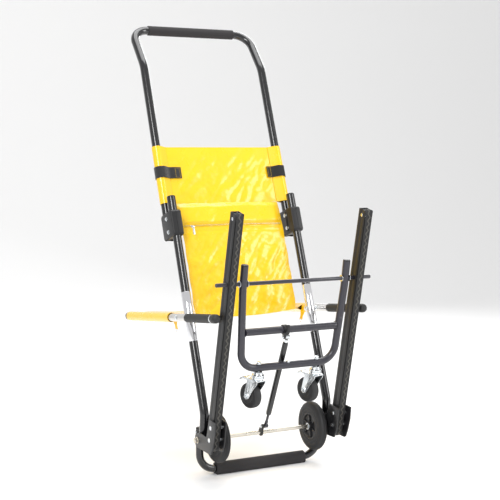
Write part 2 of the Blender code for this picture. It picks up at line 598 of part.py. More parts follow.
# Castors under the kick frame, each turned a little on its stem.
stem = Vector((0, -lean, 1)).normalized()
for word, hand in (("left", -1), ("right", 1)):
    foot = Vector((hand * CASTOR_X, KICK[0] - lean * (0.347 - KICK[1]), 0.347))
    boolean(kick, f"kick_stem_{word}", tube([foot - 0.03 * stem, foot + 0.03 * stem], 0.0043,
                                            sides=14))
    place = (Matrix.Translation(foot) @ Matrix.Rotation(math.atan(lean), 4, "X")
             @ Matrix.Rotation(math.radians(CASTOR_TURN), 4, "Z"))

    def put(mesh):
        bmesh.ops.transform(mesh, matrix=place, verts=mesh.verts)
        return mesh

    profile = [(0.0185, 0.0), (0.0185, 0.0045), (0.0170, 0.0062), (0.0114, 0.0062),
               (0.0114, 0.0040), (-0.0115, 0.0040), (-0.0115, 0.0120), (-0.0200, 0.0150),
               (-0.0205, 0.0185), (-0.0330, 0.0185), (-0.0345, 0.0160), (-0.0365, 0.0160),
               (-0.0365, 0.0)]
    fork = piece(f"castor_fork_{word}", put(turned((0, 0, 0), (0, 0, 1), profile, 14)), "zinc",
                 foot)
    plan = [(-0.018, -0.035), (0.023, -0.035), (0.023, -0.038), (-0.018, -0.038)]
    boolean(fork, f"crown_{word}", put(slab(plan, -0.0175, 0.0175)), "UNION")
    leg = [(-0.0175, -0.0356), (0.0225, -0.0356), (0.0285, -0.0600), (0.0325, -0.0880),
           (0.0310, -0.0975), (0.0240, -0.1010), (0.0165, -0.0975), (-0.0100, -0.0550),
           (-0.0165, -0.0420)]
    for number, ends in enumerate(((-0.0171, -0.0148), (0.0148, 0.0171))):
        boolean(fork, f"leg{number}_{word}", put(slab(leg, *ends)), "UNION")
    hub = (0.0238, -0.0923)
    boolean(fork, f"castor_axle_{word}", put(rod(-0.0205, 0.0205, hub, 0.0040, 14)), "UNION")
    profile = [(-0.0135, 0.0043), (-0.0135, 0.0090), (-0.0110, 0.0100), (-0.0110, 0.0240),
               (-0.0130, 0.0270), (-0.0120, 0.0345), (-0.0080, CASTOR_R), (0.0080, CASTOR_R),
               (0.0120, 0.0345), (0.0130, 0.0270), (0.0110, 0.0240), (0.0110, 0.0100),
               (0.0135, 0.0090), (0.0135, 0.0043)]
    centre = place @ Vector((0, *hub))
    piece(f"castor_wheel_{word}", put(turned((0, *hub), (1, 0, 0), profile, 20, True)), "tyre",
          centre)
    pedal = [(0.0300, -0.0500), (0.0235, -0.0490), (0.0235, -0.0420), (0.0320, -0.0395),
             (0.0480, -0.0405), (0.0660, -0.0500), (0.0670, -0.0535), (0.0640, -0.0545),
             (0.0480, -0.0470)]
    centre = place @ Vector((0, 0.0270, -0.0455))
    piece(f"castor_pedal_{word}", put(slab(pedal, -0.0135, 0.0135)), "black_plastic", centre)
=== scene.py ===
"""Stair chair on its foot bar: belt tracks, folding frame, coated covers, kickstand and wheels."""

import math

import bpy
from bpy.props import FloatProperty, FloatVectorProperty, PointerProperty
from mathutils import Matrix, Vector, noise


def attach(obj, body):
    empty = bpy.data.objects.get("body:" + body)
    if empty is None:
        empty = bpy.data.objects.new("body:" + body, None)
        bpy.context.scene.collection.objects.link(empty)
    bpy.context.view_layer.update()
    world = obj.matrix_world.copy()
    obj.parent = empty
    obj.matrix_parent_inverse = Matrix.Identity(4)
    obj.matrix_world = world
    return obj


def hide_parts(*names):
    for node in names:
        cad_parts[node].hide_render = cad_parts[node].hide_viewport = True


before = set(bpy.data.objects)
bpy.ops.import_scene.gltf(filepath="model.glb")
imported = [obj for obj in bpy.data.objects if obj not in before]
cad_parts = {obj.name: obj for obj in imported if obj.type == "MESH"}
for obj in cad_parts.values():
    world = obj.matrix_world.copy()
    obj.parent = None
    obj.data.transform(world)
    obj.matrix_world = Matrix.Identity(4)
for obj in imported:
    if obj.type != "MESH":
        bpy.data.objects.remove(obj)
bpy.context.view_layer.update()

bl_info = {
    "name": "Stair Chair Builder",
    "version": (1, 0, 0),
    "blender": (4, 5, 0),
    "location": "View3D > Sidebar > Stair Chair",
    "description": "Builds the covers, tubes, wheels, tracks and fittings of a folding stair chair",
    "category": "Add Mesh",
}

SIDES = (("left", -1), ("right", 1))
LEAN = math.atan(0.37)
TRACK_LEAN = math.atan(0.2325)
AXLE = (-0.0375, 0.121)
KICK = (-0.213, 0.5976)
KICK_SLOPE = 0.171
MAIN_TOP = (0.186, 0.826)
PIVOT = (MAIN_TOP[0] + 0.37 * (0.4735 - MAIN_TOP[1]), 0.4735)
ARM_SLOPE = math.radians(6.4)
CROSS = (-0.187, 0.455)
TRACK_X = 0.210
MAIN_X = 0.210
HANDLE_X = 0.2125
HANDLE_AHEAD = 0.046
ARM_X = 0.2435
KICK_X = 0.168
CASTOR_X, CASTOR_Z = 0.0965, 0.347
BELT_LIFT = -0.0012
BELT_TURN = 0.0165
BOLT_HOLE = 0.0043
PLATE_BOLTS = ((-0.116, 0.137), (-0.1255, 0.175))
LEG_BOLT = (0.0, 0.134)
ALONG_MAIN = Vector((0, math.sin(LEAN), math.cos(LEAN)))
AHEAD_MAIN = Vector((0, math.cos(LEAN), -math.sin(LEAN)))
ALONG_ARM = Vector((0, math.cos(ARM_SLOPE), -math.sin(ARM_SLOPE)))
ABOVE_ARM = Vector((0, math.sin(ARM_SLOPE), math.cos(ARM_SLOPE)))
ALONG_TRACK = Vector((0, -math.sin(TRACK_LEAN), math.cos(TRACK_LEAN)))
AHEAD_TRACK = Vector((0, math.cos(TRACK_LEAN), math.sin(TRACK_LEAN)))


class ChairSizes(bpy.types.PropertyGroup):
    """Sizes that shape the soft and rounded pieces."""

    cover_thickness: FloatProperty(
        name="Cover Thickness", description="Thickness of the coated cloth",
        default=0.0011, min=0.0005, max=0.002, unit="LENGTH")
    wrinkle_depth: FloatProperty(
        name="Wrinkle Depth", description="How far the creases of the covers stand out",
        default=0.0027, min=0.0, max=0.006, unit="LENGTH")
    pocket_bulge: FloatProperty(
        name="Pocket Bulge", description="How far the pocket stands out behind the back cover",
        default=0.011, min=0.0, max=0.02, unit="LENGTH")
    edge_round: FloatProperty(
        name="Edge Round", description="Rounding of the edges of plates and clamps",
        default=0.0006, min=0.0001, max=0.002, unit="LENGTH")


class ChairColours(bpy.types.PropertyGroup):
    """Colours of the main finishes."""

    cover: FloatVectorProperty(
        name="Cover", description="Coated cloth of the seat and the back",
        default=(0.93, 0.56, 0.0), subtype="COLOR", min=0.0, max=1.0)
    tube: FloatVectorProperty(
        name="Tube", description="Gloss powder coat of the frame tubes",
        default=(0.005, 0.005, 0.006), subtype="COLOR", min=0.0, max=1.0)
    kickstand: FloatVectorProperty(
        name="Kickstand", description="Satin coat of the kickstand",
        default=(0.022, 0.021, 0.030), subtype="COLOR", min=0.0, max=1.0)
    floor: FloatVectorProperty(
        name="Floor", description="Studio floor and backdrop",
        default=(0.90, 0.90, 0.90), subtype="COLOR", min=0.0, max=1.0)


def yz(x, point):
    """A point from X and a (Y, Z) pair."""
    return Vector((x, point[0], point[1]))


def at_main(x, along, ahead=0.0):
    """A point given from the seat pivot, along the main tubes and in front of them."""
    return yz(x, PIVOT) + along * ALONG_MAIN + ahead * AHEAD_MAIN


def at_arm(x, along, above=0.0):
    """A point given from the seat pivot, along the seat arms and above them."""
    return yz(x, PIVOT) + along * ALONG_ARM + above * ABOVE_ARM


def at_track(x, along, ahead=0.0):
    """A point given along the tracks and in front of them."""
    return Vector((x, -0.1247, 0.213)) + along * ALONG_TRACK + ahead * AHEAD_TRACK


def at_kick(x, z):
    """A point on the kickstand's sloping plane at a height."""
    return Vector((x, KICK[0] - KICK_SLOPE * (z - KICK[1]), z))


def smooth_step(low, high, value):
    """Goes softly from 0 to 1 between low and high."""
    part = min(max((value - low) / (high - low), 0.0), 1.0)
    return part * part * (3 - 2 * part)


# ---------------------------------------------------------------- materials


def new_group(name, inputs, outputs):
    group = bpy.data.node_groups.new(name, "ShaderNodeTree")
    for label, kind, value in inputs:
        socket = group.interface.new_socket(name=label, in_out="INPUT", socket_type=kind)
        socket.default_value = value
    for label, kind in outputs:
        group.interface.new_socket(name=label, in_out="OUTPUT", socket_type=kind)
    start = group.nodes.new("NodeGroupInput")
    end = group.nodes.new("NodeGroupOutput")
    return group, start, end


def grain_group():
    """Fine surface grain, with a slow drift of tone over it."""
    if "Surface Grain" in bpy.data.node_groups:
        return bpy.data.node_groups["Surface Grain"]
    group, start, end = new_group(
        "Surface Grain",
        (("Vector", "NodeSocketVector", (0, 0, 0)), ("Fine Scale", "NodeSocketFloat", 900.0),
         ("Drift Scale", "NodeSocketFloat", 9.0)),
        (("Height", "NodeSocketFloat"), ("Drift", "NodeSocketFloat")))
    fine = group.nodes.new("ShaderNodeTexNoise")
    fine.inputs["Detail"].default_value = 3.0
    slow = group.nodes.new("ShaderNodeTexNoise")
    slow.inputs["Detail"].default_value = 4.0
    slow.inputs["Roughness"].default_value = 0.6
    link = group.links.new
    link(start.outputs["Vector"], fine.inputs["Vector"])
    link(start.outputs["Vector"], slow.inputs["Vector"])
    link(start.outputs["Fine Scale"], fine.inputs["Scale"])
    link(start.outputs["Drift Scale"], slow.inputs["Scale"])
    link(fine.outputs["Fac"], end.inputs["Height"])
    link(slow.outputs["Fac"], end.inputs["Drift"])
    return group


def scuff_group():
    """Thin scratches and small rubbed spots, as a mask."""
    if "Scuffs" in bpy.data.node_groups:
        return bpy.data.node_groups["Scuffs"]
    group, start, end = new_group(
        "Scuffs",
        (("Vector", "NodeSocketVector", (0, 0, 0)), ("Amount", "NodeSocketFloat", 0.3)),
        (("Mask", "NodeSocketFloat"),))
    stretch = group.nodes.new("ShaderNodeMapping")
    stretch.inputs["Scale"].default_value = (60, 420, 35)
    stretch.inputs["Rotation"].default_value = (0.4, 0.2, 0.3)
    streaks = group.nodes.new("ShaderNodeTexNoise")
    streaks.inputs["Scale"].default_value = 1.0
    streaks.inputs["Detail"].default_value = 2.0
    patches = group.nodes.new("ShaderNodeTexNoise")
    patches.inputs["Scale"].default_value = 14.0
    narrow = group.nodes.new("ShaderNodeMapRange")
    narrow.inputs["From Min"].default_value = 0.66
    narrow.inputs["From Max"].default_value = 0.74
    place = group.nodes.new("ShaderNodeMapRange")
    place.inputs["From Min"].default_value = 0.50
    place.inputs["From Max"].default_value = 0.66
    both = group.nodes.new("ShaderNodeMath")
    both.operation = "MULTIPLY"
    sized = group.nodes.new("ShaderNodeMath")
    sized.operation = "MULTIPLY"
    link = group.links.new
    link(start.outputs["Vector"], stretch.inputs["Vector"])
    link(stretch.outputs["Vector"], streaks.inputs["Vector"])
    link(start.outputs["Vector"], patches.inputs["Vector"])
    link(streaks.outputs["Fac"], narrow.inputs["Value"])
    link(patches.outputs["Fac"], place.inputs["Value"])
    link(narrow.outputs["Result"], both.inputs[0])
    link(place.outputs["Result"], both.inputs[1])
    link(both.outputs[0], sized.inputs[0])
    link(start.outputs["Amount"], sized.inputs[1])
    link(sized.outputs[0], end.inputs["Mask"])
    return group


def weave_group():
    """Crossed threads on the cloth's own map, as a height and a shade."""
    if "Weave" in bpy.data.node_groups:
        return bpy.data.node_groups["Weave"]
    group, start, end = new_group(
        "Weave",
        (("Vector", "NodeSocketVector", (0, 0, 0)), ("Threads", "NodeSocketFloat", 700.0)),
        (("Height", "NodeSocketFloat"),))
    link = group.links.new
    made = []
    for way in ("X", "Y"):
        wave = group.nodes.new("ShaderNodeTexWave")
        wave.bands_direction = way
        wave.inputs["Distortion"].default_value = 0.6
        wave.inputs["Detail Scale"].default_value = 2.0
        link(start.outputs["Vector"], wave.inputs["Vector"])
        link(start.outputs["Threads"], wave.inputs["Scale"])
        made.append(wave)
    both = group.nodes.new("ShaderNodeMath")
    both.operation = "MAXIMUM"
    link(made[0].outputs["Fac"], both.inputs[0])
    link(made[1].outputs["Fac"], both.inputs[1])
    link(both.outputs[0], end.inputs["Height"])
    return group


MADE = set()


def finish(name, colour, rough, metal=0.0, coat=0.0, fine=900.0, bump=0.03, drift=0.12,
           scuffs=0.0, worn=(0.3, 0.3, 0.3), sheen=0.0, weave=0.0, uv=False):
    """A finish: base colour with slow drift, grain in its gloss and height, scuffs on top."""
    if name in MADE:
        return bpy.data.materials[name]
    MADE.add(name)
    made = bpy.data.materials.new(name)
    made.use_nodes = True
    tree = made.node_tree
    shader = tree.nodes["Principled BSDF"]
    link = tree.links.new
    shader.inputs["Metallic"].default_value = metal
    shader.inputs["Coat Weight"].default_value = coat
    shader.inputs["Coat Roughness"].default_value = 0.08
    if sheen:
        shader.inputs["Sheen Weight"].default_value = sheen
    where = tree.nodes.new("ShaderNodeTexCoord")
    grain = tree.nodes.new("ShaderNodeGroup")
    grain.node_tree = grain_group()
    grain.inputs["Fine Scale"].default_value = fine
    link(where.outputs["Object"], grain.inputs["Vector"])
    tone = tree.nodes.new("ShaderNodeMix")
    tone.data_type = "RGBA"
    dark = tuple(c * (1 - drift) for c in colour)
    light = tuple(min(c * (1 + drift), 1.0) for c in colour)
    tone.inputs["A"].default_value = (*dark, 1)
    tone.inputs["B"].default_value = (*light, 1)
    link(grain.outputs["Drift"], tone.inputs["Factor"])
    gloss = tree.nodes.new("ShaderNodeMapRange")
    gloss.inputs["From Min"].default_value = 0.25
    gloss.inputs["From Max"].default_value = 0.75
    gloss.inputs["To Min"].default_value = max(rough - 0.07, 0.02)
    gloss.inputs["To Max"].default_value = min(rough + 0.07, 1.0)
    link(grain.outputs["Drift"], gloss.inputs["Value"])
    colour_out, rough_out = tone.outputs["Result"], gloss.outputs["Result"]
    if scuffs:
        marks = tree.nodes.new("ShaderNodeGroup")
        marks.node_tree = scuff_group()
        marks.inputs["Amount"].default_value = scuffs
        link(where.outputs["Object"], marks.inputs["Vector"])
        over = tree.nodes.new("ShaderNodeMix")
        over.data_type = "RGBA"
        over.inputs["B"].default_value = (*worn, 1)
        link(colour_out, over.inputs["A"])
        link(marks.outputs["Mask"], over.inputs["Factor"])
        colour_out = over.outputs["Result"]
        duller = tree.nodes.new("ShaderNodeMath")
        duller.operation = "MULTIPLY_ADD"
        duller.inputs[1].default_value = 0.35
        link(marks.outputs["Mask"], duller.inputs[0])
        link(rough_out, duller.inputs[2])
        rough_out = duller.outputs[0]
    link(colour_out, shader.inputs["Base Color"])
    link(rough_out, shader.inputs["Roughness"])
    height = grain.outputs["Height"]
    if weave:
        threads = tree.nodes.new("ShaderNodeGroup")
        threads.node_tree = weave_group()
        threads.inputs["Threads"].default_value = weave
        link(where.outputs["UV" if uv else "Object"], threads.inputs["Vector"])
        height = threads.outputs["Height"]
    relief = tree.nodes.new("ShaderNodeBump")
    relief.inputs["Strength"].default_value = 0.5
    relief.inputs["Distance"].default_value = bump / 1000
    link(height, relief.inputs["Height"])
    link(relief.outputs["Normal"], shader.inputs["Normal"])
    return made


def colours():
    """The colours that a user may change."""
    return bpy.context.scene.chair_colours


def sizes():
    """The sizes that a user may change."""
    return bpy.context.scene.chair_sizes


def black_coat():
    return finish("gloss_black_coat", tuple(colours().tube), 0.20, coat=0.6, fine=420, bump=0.05,
                  scuffs=0.16, worn=(0.05, 0.05, 0.05))


def cover_cloth():
    return finish("coated_cloth", tuple(colours().cover), 0.27, coat=0.55, drift=0.03,
                  bump=0.07, weave=360.0, uv=True)


def kick_coat():
    return finish("satin_grey_coat", tuple(colours().kickstand), 0.33, coat=0.25, fine=500,
                  bump=0.05, scuffs=0.25, worn=(0.16, 0.16, 0.17))


def track_coat():
    return finish("charcoal_coat", (0.011, 0.011, 0.012), 0.46, fine=700, bump=0.06,
                  scuffs=0.30, worn=(0.14, 0.14, 0.14))


def belt_rubber():
    return finish("belt_rubber", (0.017, 0.017, 0.017), 0.72, fine=1100, bump=0.12, drift=0.25)


def belt_ridge():
    return finish("belt_ridge", (0.070, 0.066, 0.058), 0.66, fine=1100, bump=0.10, drift=0.25)


def plate_coat():
    return finish("plate_coat", (0.009, 0.009, 0.010), 0.38, coat=0.2, fine=600, bump=0.06,
                  scuffs=0.28, worn=(0.2, 0.2, 0.2))


def zinc():
    return finish("bright_zinc", (0.74, 0.77, 0.79), 0.24, metal=1.0, fine=500, bump=0.03,
                  drift=0.14, scuffs=0.12, worn=(0.42, 0.44, 0.46))


def chrome():
    return finish("chrome", (0.78, 0.78, 0.80), 0.10, metal=1.0, fine=300, bump=0.01, drift=0.05)


def bare_tube():
    return finish("polished_tube", (0.66, 0.65, 0.63), 0.22, metal=1.0, fine=800, bump=0.03,
                  scuffs=0.3, worn=(0.34, 0.34, 0.34))


def turned_steel():
    return finish("turned_steel", (0.72, 0.68, 0.60), 0.28, metal=1.0, fine=800, bump=0.04)


def foam_skin():
    return finish("foam_skin", (0.024, 0.022, 0.023), 0.84, fine=1500, bump=0.25, drift=0.25)


def moulded():
    return finish("moulded_black", (0.008, 0.008, 0.009), 0.42, fine=1300, bump=0.07,
                  scuffs=0.1, worn=(0.08, 0.08, 0.08))


def tyre_rubber():
    return finish("tyre_rubber", (0.014, 0.014, 0.015), 0.58, fine=900, bump=0.10, drift=0.3,
                  scuffs=0.35, worn=(0.09, 0.085, 0.08))


def hub_plastic():
    return finish("hub_plastic", (0.012, 0.012, 0.013), 0.40, fine=900, bump=0.05)


def webbing():
    return finish("webbing", (0.012, 0.012, 0.013), 0.85, bump=0.35, weave=420.0, uv=True,
                  sheen=0.3)


# ---------------------------------------------------------------- modelling helpers


def clear():
    """Leaves edit mode and deselects everything."""
    if bpy.context.mode != "OBJECT":
        bpy.ops.object.mode_set(mode="OBJECT")
    bpy.ops.object.select_all(action="DESELECT")


def hold(obj):
    """Selects this object alone and makes it active."""
    clear()
    obj.select_set(True)
    bpy.context.view_layer.objects.active = obj


def start(name, points, edges=(), faces=()):
    """A new mesh object with these points, the only one selected."""
    clear()
    data = bpy.data.meshes.new(name)
    data.from_pydata([tuple(p) for p in points], list(edges), list(faces))
    obj = bpy.data.objects.new(name, data)
    bpy.context.collection.objects.link(obj)
    hold(obj)
    return obj


def edit(obj):
    """Opens this object in edit mode with all of it selected."""
    hold(obj)
    bpy.ops.object.mode_set(mode="EDIT")
    bpy.ops.mesh.select_all(action="SELECT")


def apply_all(obj):
    """Applies every modifier of the object."""
    hold(obj)
    for modifier in list(obj.modifiers):
        bpy.ops.object.modifier_apply(modifier=modifier.name)


def round_edges(obj, width, segments=2, angle=35):
    """Rounds the edges that are sharper than an angle."""
    bevel = obj.modifiers.new("round", "BEVEL")
    bevel.width = width
    bevel.segments = segments
    bevel.limit_method = "ANGLE"
    bevel.angle_limit = math.radians(angle)
    apply_all(obj)


def turned(name, profile, centre, axis, steps=40, loop=False):
    """A turned piece: its (along, radius) outline is spun round the axis."""
    axis = Vector(axis).normalized()
    side = axis.orthogonal().normalized()
    centre = Vector(centre)
    points = [centre + axis * along + side * radius for along, radius in profile]
    edges = [(k, k + 1) for k in range(len(points) - 1)]
    if loop:
        edges.append((len(points) - 1, 0))
    obj = start(name, points, edges)
    edit(obj)
    bpy.ops.mesh.spin(steps=steps, angle=2 * math.pi, center=centre, axis=axis)
    bpy.ops.mesh.select_all(action="SELECT")
    bpy.ops.mesh.remove_doubles(threshold=0.00002)
    bpy.ops.mesh.normals_make_consistent(inside=False)
    bpy.ops.object.mode_set(mode="OBJECT")
    return obj


def plate(name, outline, low, high, edge=0.0006, segments=2):
    """A plate from a (Y, Z) outline, drawn out along X and rounded on its edges."""
    obj = start(name, [yz(low, p) for p in outline], faces=[tuple(range(len(outline)))])
    edit(obj)
    bpy.ops.mesh.extrude_region_move(TRANSFORM_OT_translate={"value": (high - low, 0, 0)})
    face_out(obj)
    if edge:
        round_edges(obj, edge, segments)
    return obj


def drawn(name, section, base, across, up, along, edge=0.0004):
    """A section of (across, up) points drawn out by the vector along."""
    points = [base + across * a + up * u for a, u in section]
    obj = start(name, points, faces=[tuple(range(len(points)))])
    edit(obj)
    bpy.ops.mesh.extrude_region_move(TRANSFORM_OT_translate={"value": tuple(along)})
    face_out(obj)
    if edge:
        round_edges(obj, edge, 2)
    return obj


def rounded(corners, radii, steps=12):
    """The path through the corners, each turned into an arc."""
    points = [Vector(corners[0])]
    for before, here, after, radius in zip(corners, corners[1:], corners[2:], radii):
        here = Vector(here)
        back = (Vector(before) - here).normalized()
        on = (Vector(after) - here).normalized()
        half = back.angle(on) / 2
        reach = radius / math.tan(half)
        centre = here + (back + on).normalized() * radius / math.sin(half)
        first = here + back * reach - centre
        last = here + on * reach - centre
        turn, axis = first.angle(last), first.cross(last).normalized()
        points += [centre + Matrix.Rotation(turn * k / steps, 3, axis) @ first
                   for k in range(steps + 1)]
    return points + [Vector(corners[-1])]


def pipe(name, points, radius, fineness=7):
    """A bent tube, drawn as a curve with a round section and turned into a mesh."""
    clear()
    curve = bpy.data.curves.new(name, "CURVE")
    curve.dimensions = "3D"
    curve.bevel_depth = radius
    curve.bevel_resolution = fineness
    curve.use_fill_caps = True
    spline = curve.splines.new("POLY")
    spline.points.add(len(points) - 1)
    for knot, point in zip(spline.points, points):
        knot.co = (*point, 1)
    obj = bpy.data.objects.new(name, curve)
    bpy.context.collection.objects.link(obj)
    hold(obj)
    bpy.ops.object.convert(target="MESH")
    obj = bpy.context.view_layer.objects.active
    face_out(obj, merge=0.00001)
    return obj


def cloth(name, rows, wrap=False):
    """A cloth surface from rows of points, with a map of its real lengths."""
    wide = len(rows[0])
    points = [p for row in rows for p in row]
    faces, spans = [], []
    count = len(rows) if wrap else len(rows) - 1
    downs = [0.0]
    for r in range(count):
        downs.append(downs[-1] + (rows[(r + 1) % len(rows)][wide // 2]
                                  - rows[r][wide // 2]).length)
    acrosses = [0.0]
    for c in range(wide - 1):
        acrosses.append(acrosses[-1] + (rows[0][c + 1] - rows[0][c]).length)
    for r in range(count):
        on = (r + 1) % len(rows)
        for c in range(wide - 1):
            faces.append((r * wide + c, r * wide + c + 1, on * wide + c + 1, on * wide + c))
            spans.append(((c, r), (c + 1, r), (c + 1, r + 1), (c, r + 1)))
    obj = start(name, points, faces=faces)
    chart = obj.data.uv_layers.new(name="cloth")
    for polygon, corners in zip(obj.data.polygons, spans):
        for corner, (c, r) in zip(polygon.loop_indices, corners):
            chart.data[corner].uv = (acrosses[c], downs[r])
    return obj


def thicken(obj, thickness, offset=0.0):
    """Gives a cloth surface its thickness."""
    wall = obj.modifiers.new("wall", "SOLIDIFY")
    wall.thickness = thickness
    wall.offset = offset
    apply_all(obj)


def join(name, pieces):
    """Joins pieces into one, under a name."""
    hold(pieces[0])
    for piece in pieces:
        piece.select_set(True)
    bpy.ops.object.join()
    made = bpy.context.view_layer.objects.active
    made.name = name
    return made


def cut(obj, tool, operation="DIFFERENCE"):
    """Cuts the tool out of the object and removes the tool."""
    change = obj.modifiers.new("cut", "BOOLEAN")
    change.operation = operation
    change.solver = "EXACT"
    change.object = tool
    apply_all(obj)
    bpy.data.objects.remove(tool, do_unlink=True)


def bore(obj, reach, radius, centre, axis, steps=24):
    """A round hole through a piece, over this reach along its axis."""
    near, far = reach
    cut(obj, turned("tool", [(near, 0), (near, radius), (far, radius), (far, 0)],
                    centre, axis, steps))


def face_out(obj, merge=0.0):
    """Turns the faces of a piece outwards, after its doubles are merged."""
    edit(obj)
    if merge:
        bpy.ops.mesh.remove_doubles(threshold=merge)
    bpy.ops.mesh.normals_make_consistent(inside=False)
    bpy.ops.object.mode_set(mode="OBJECT")


def settle(obj, body, material, nodes=(), angle=35):
    """Gives a finished piece its shading, its finish, its body and the CAD nodes it stands for."""
    hold(obj)
    bpy.ops.object.transform_apply(location=True, rotation=True, scale=True)
    bpy.ops.object.shade_smooth_by_angle(angle=math.radians(angle))
    obj.data.materials.clear()
    obj.data.materials.append(material)
    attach(obj, body)
    if nodes:
        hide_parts(*nodes)
    return obj


def hex_bolt(name, point, way, across, height, body, washer=0.0, socket=False,
             nodes=(), material=None):
    """A bolt head or nut on its washer: six sides, chamfered, lying on a face."""
    way = Vector(way).normalized()
    side = way.orthogonal().normalized()
    up = way.cross(side)
    radius = across / math.sqrt(3)
    ring = [Vector(point) + radius * (math.cos(a) * side + math.sin(a) * up)
            for a in (math.pi * k / 3 for k in range(6))]
    obj = start(name, ring, faces=[tuple(range(6))])
    edit(obj)
    bpy.ops.mesh.extrude_region_move(TRANSFORM_OT_translate={"value": tuple(way * height)})
    bpy.ops.mesh.inset(thickness=radius * 0.16, depth=height * 0.12)
    if socket:
        bpy.ops.mesh.inset(thickness=radius * 0.30, depth=0)
        down = tuple(-way * height * 0.5)
        bpy.ops.mesh.extrude_region_move(TRANSFORM_OT_translate={"value": down})
    face_out(obj)
    if washer:
        disc = turned(name + "_washer", [(-0.0012, 0.0), (-0.0012, washer), (-0.0002, washer),
                                         (0.0, washer - 0.0003), (0.0, 0.0)], point, way, 28)
        obj = join(name, [obj, disc])
    return settle(obj, body, material or zinc(), nodes, 25)


# ---------------------------------------------------------------- tracks and fixed frame


def make_tracks():
    """Rails, belts with their wavy ridge, and the rollers inside them."""
    half, wall, low, high = 0.013, 0.0016, -0.0145, 0.019
    section = [(-half, low), (-half + wall, low), (-half + wall, high - wall),
               (half - wall, high - wall), (half - wall, low), (half, low), (half, -0.0040),
               (half - 0.0006, -0.0025), (half - 0.0006, 0.0065), (half, 0.0080), (half, high),
               (0.0030, high), (0.0022, high - 0.0006), (-0.0022, high - 0.0006),
               (-0.0030, high), (-half, high), (-half, 0.0080), (-half + 0.0006, 0.0065),
               (-half + 0.0006, -0.0025), (-half, -0.0040)]
    foot, top = -0.0982, 0.5865
    for word, hand in SIDES:
        base = at_track(hand * TRACK_X, foot - 0.012)
        rail = drawn(f"rail_{word}_shell", section, base, Vector((1, 0, 0)), AHEAD_TRACK,
                     ALONG_TRACK * (top - foot + 0.028), 0.0004)
        holes = [(at_track(0, top, BELT_LIFT), BOLT_HOLE),
                 (at_track(0, foot, BELT_LIFT), BOLT_HOLE),
                 (yz(0, KICK), 0.0062)] + [(yz(0, p), BOLT_HOLE) for p in PLATE_BOLTS]
        for point, radius in holes:
            point.x = hand * TRACK_X
            bore(rail, (-0.02, 0.02), radius, point, (1, 0, 0))
        settle(rail, "track_frame", track_coat(), [f"rail_{word}"], 30)

        straight, arc = top - foot, math.pi * BELT_TURN
        length = 2 * (straight + arc)
        count, rows, ridge = 620, [], []
        for k in range(count):
            s = length * k / count
            if s < straight:
                centre, out = at_track(0, foot + s, BELT_LIFT), -AHEAD_TRACK
            elif s < straight + arc:
                a = (s - straight) / BELT_TURN
                centre = at_track(0, top, BELT_LIFT)
                out = -AHEAD_TRACK * math.cos(a) + ALONG_TRACK * math.sin(a)
            elif s < 2 * straight + arc:
                centre = at_track(0, top - (s - straight - arc), BELT_LIFT)
                out = AHEAD_TRACK
            else:
                a = (s - 2 * straight - arc) / BELT_TURN
                centre = at_track(0, foot, BELT_LIFT)
                out = AHEAD_TRACK * math.cos(a) - ALONG_TRACK * math.sin(a)
            centre.x = hand * TRACK_X
            rib = 0.0005 * smooth_step(0.2, 0.8, abs(math.sin(math.pi * s / (length / 185))))
            outer = 0.0160 + rib
            row = []
            for across, radius in ((-0.0110, 0.0145), (-0.0110, outer - 0.0006),
                                   (-0.0104, outer), (-0.004, outer), (0.004, outer),
                                   (0.0104, outer), (0.0110, outer - 0.0006), (0.0110, 0.0145),
                                   (0.0, 0.0145), (-0.0110, 0.0145)):
                row.append(centre + Vector((across, 0, 0)) + out * radius)
            rows.append(row)
            swing = 0.0030 * math.sin(2 * math.pi * s / (length / 74))
            row = []
            for across, radius in ((-0.0026, 0.0158), (-0.0019, 0.0176), (0.0019, 0.0176),
                                   (0.0026, 0.0158)):
                row.append(centre + Vector((across + swing, 0, 0)) + out * radius)
            ridge.append(row)
        band = cloth(f"belt_{word}_band", rows, wrap=True)
        face_out(band, merge=0.00001)
        settle(band, "track_frame", belt_rubber(), [f"belt_{word}"], 40)
        wave = cloth(f"belt_{word}_ridge", [row + [row[0]] for row in ridge], wrap=True)
        face_out(wave, merge=0.00001)
        settle(wave, "track_frame", belt_ridge(), (), 40)

        for place, along in (("top", top), ("foot", foot)):
            centre = at_track(hand * TRACK_X, along, BELT_LIFT)
            drum = turned(f"roller_{place}_{word}_drum",
                          [(-0.0105, 0.0), (-0.0105, 0.0128), (-0.0098, 0.0139), (-0.001, 0.0139),
                           (0.0, 0.0130), (0.001, 0.0139), (0.0098, 0.0139), (0.0105, 0.0128),
                           (0.0105, 0.0)], centre, (1, 0, 0), 32)
            pin = turned("pin", [(-0.0134, 0.0), (-0.0134, 0.0040), (0.0134, 0.0040),
                                 (0.0134, 0.0)], centre, (1, 0, 0), 20)
            whole = join(f"roller_{place}_{word}_drum", [drum, pin])
            body = f"roller_{place}_body_{word}"
            settle(whole, body, zinc(), [f"roller_{place}_{word}"], 30)
            for side in (-1, 1):
                hex_bolt(f"roller_{place}_{word}_head{side + 1}",
                         centre + Vector((side * 0.0136, 0, 0)), (side, 0, 0), 0.0095, 0.0019,
                         body)


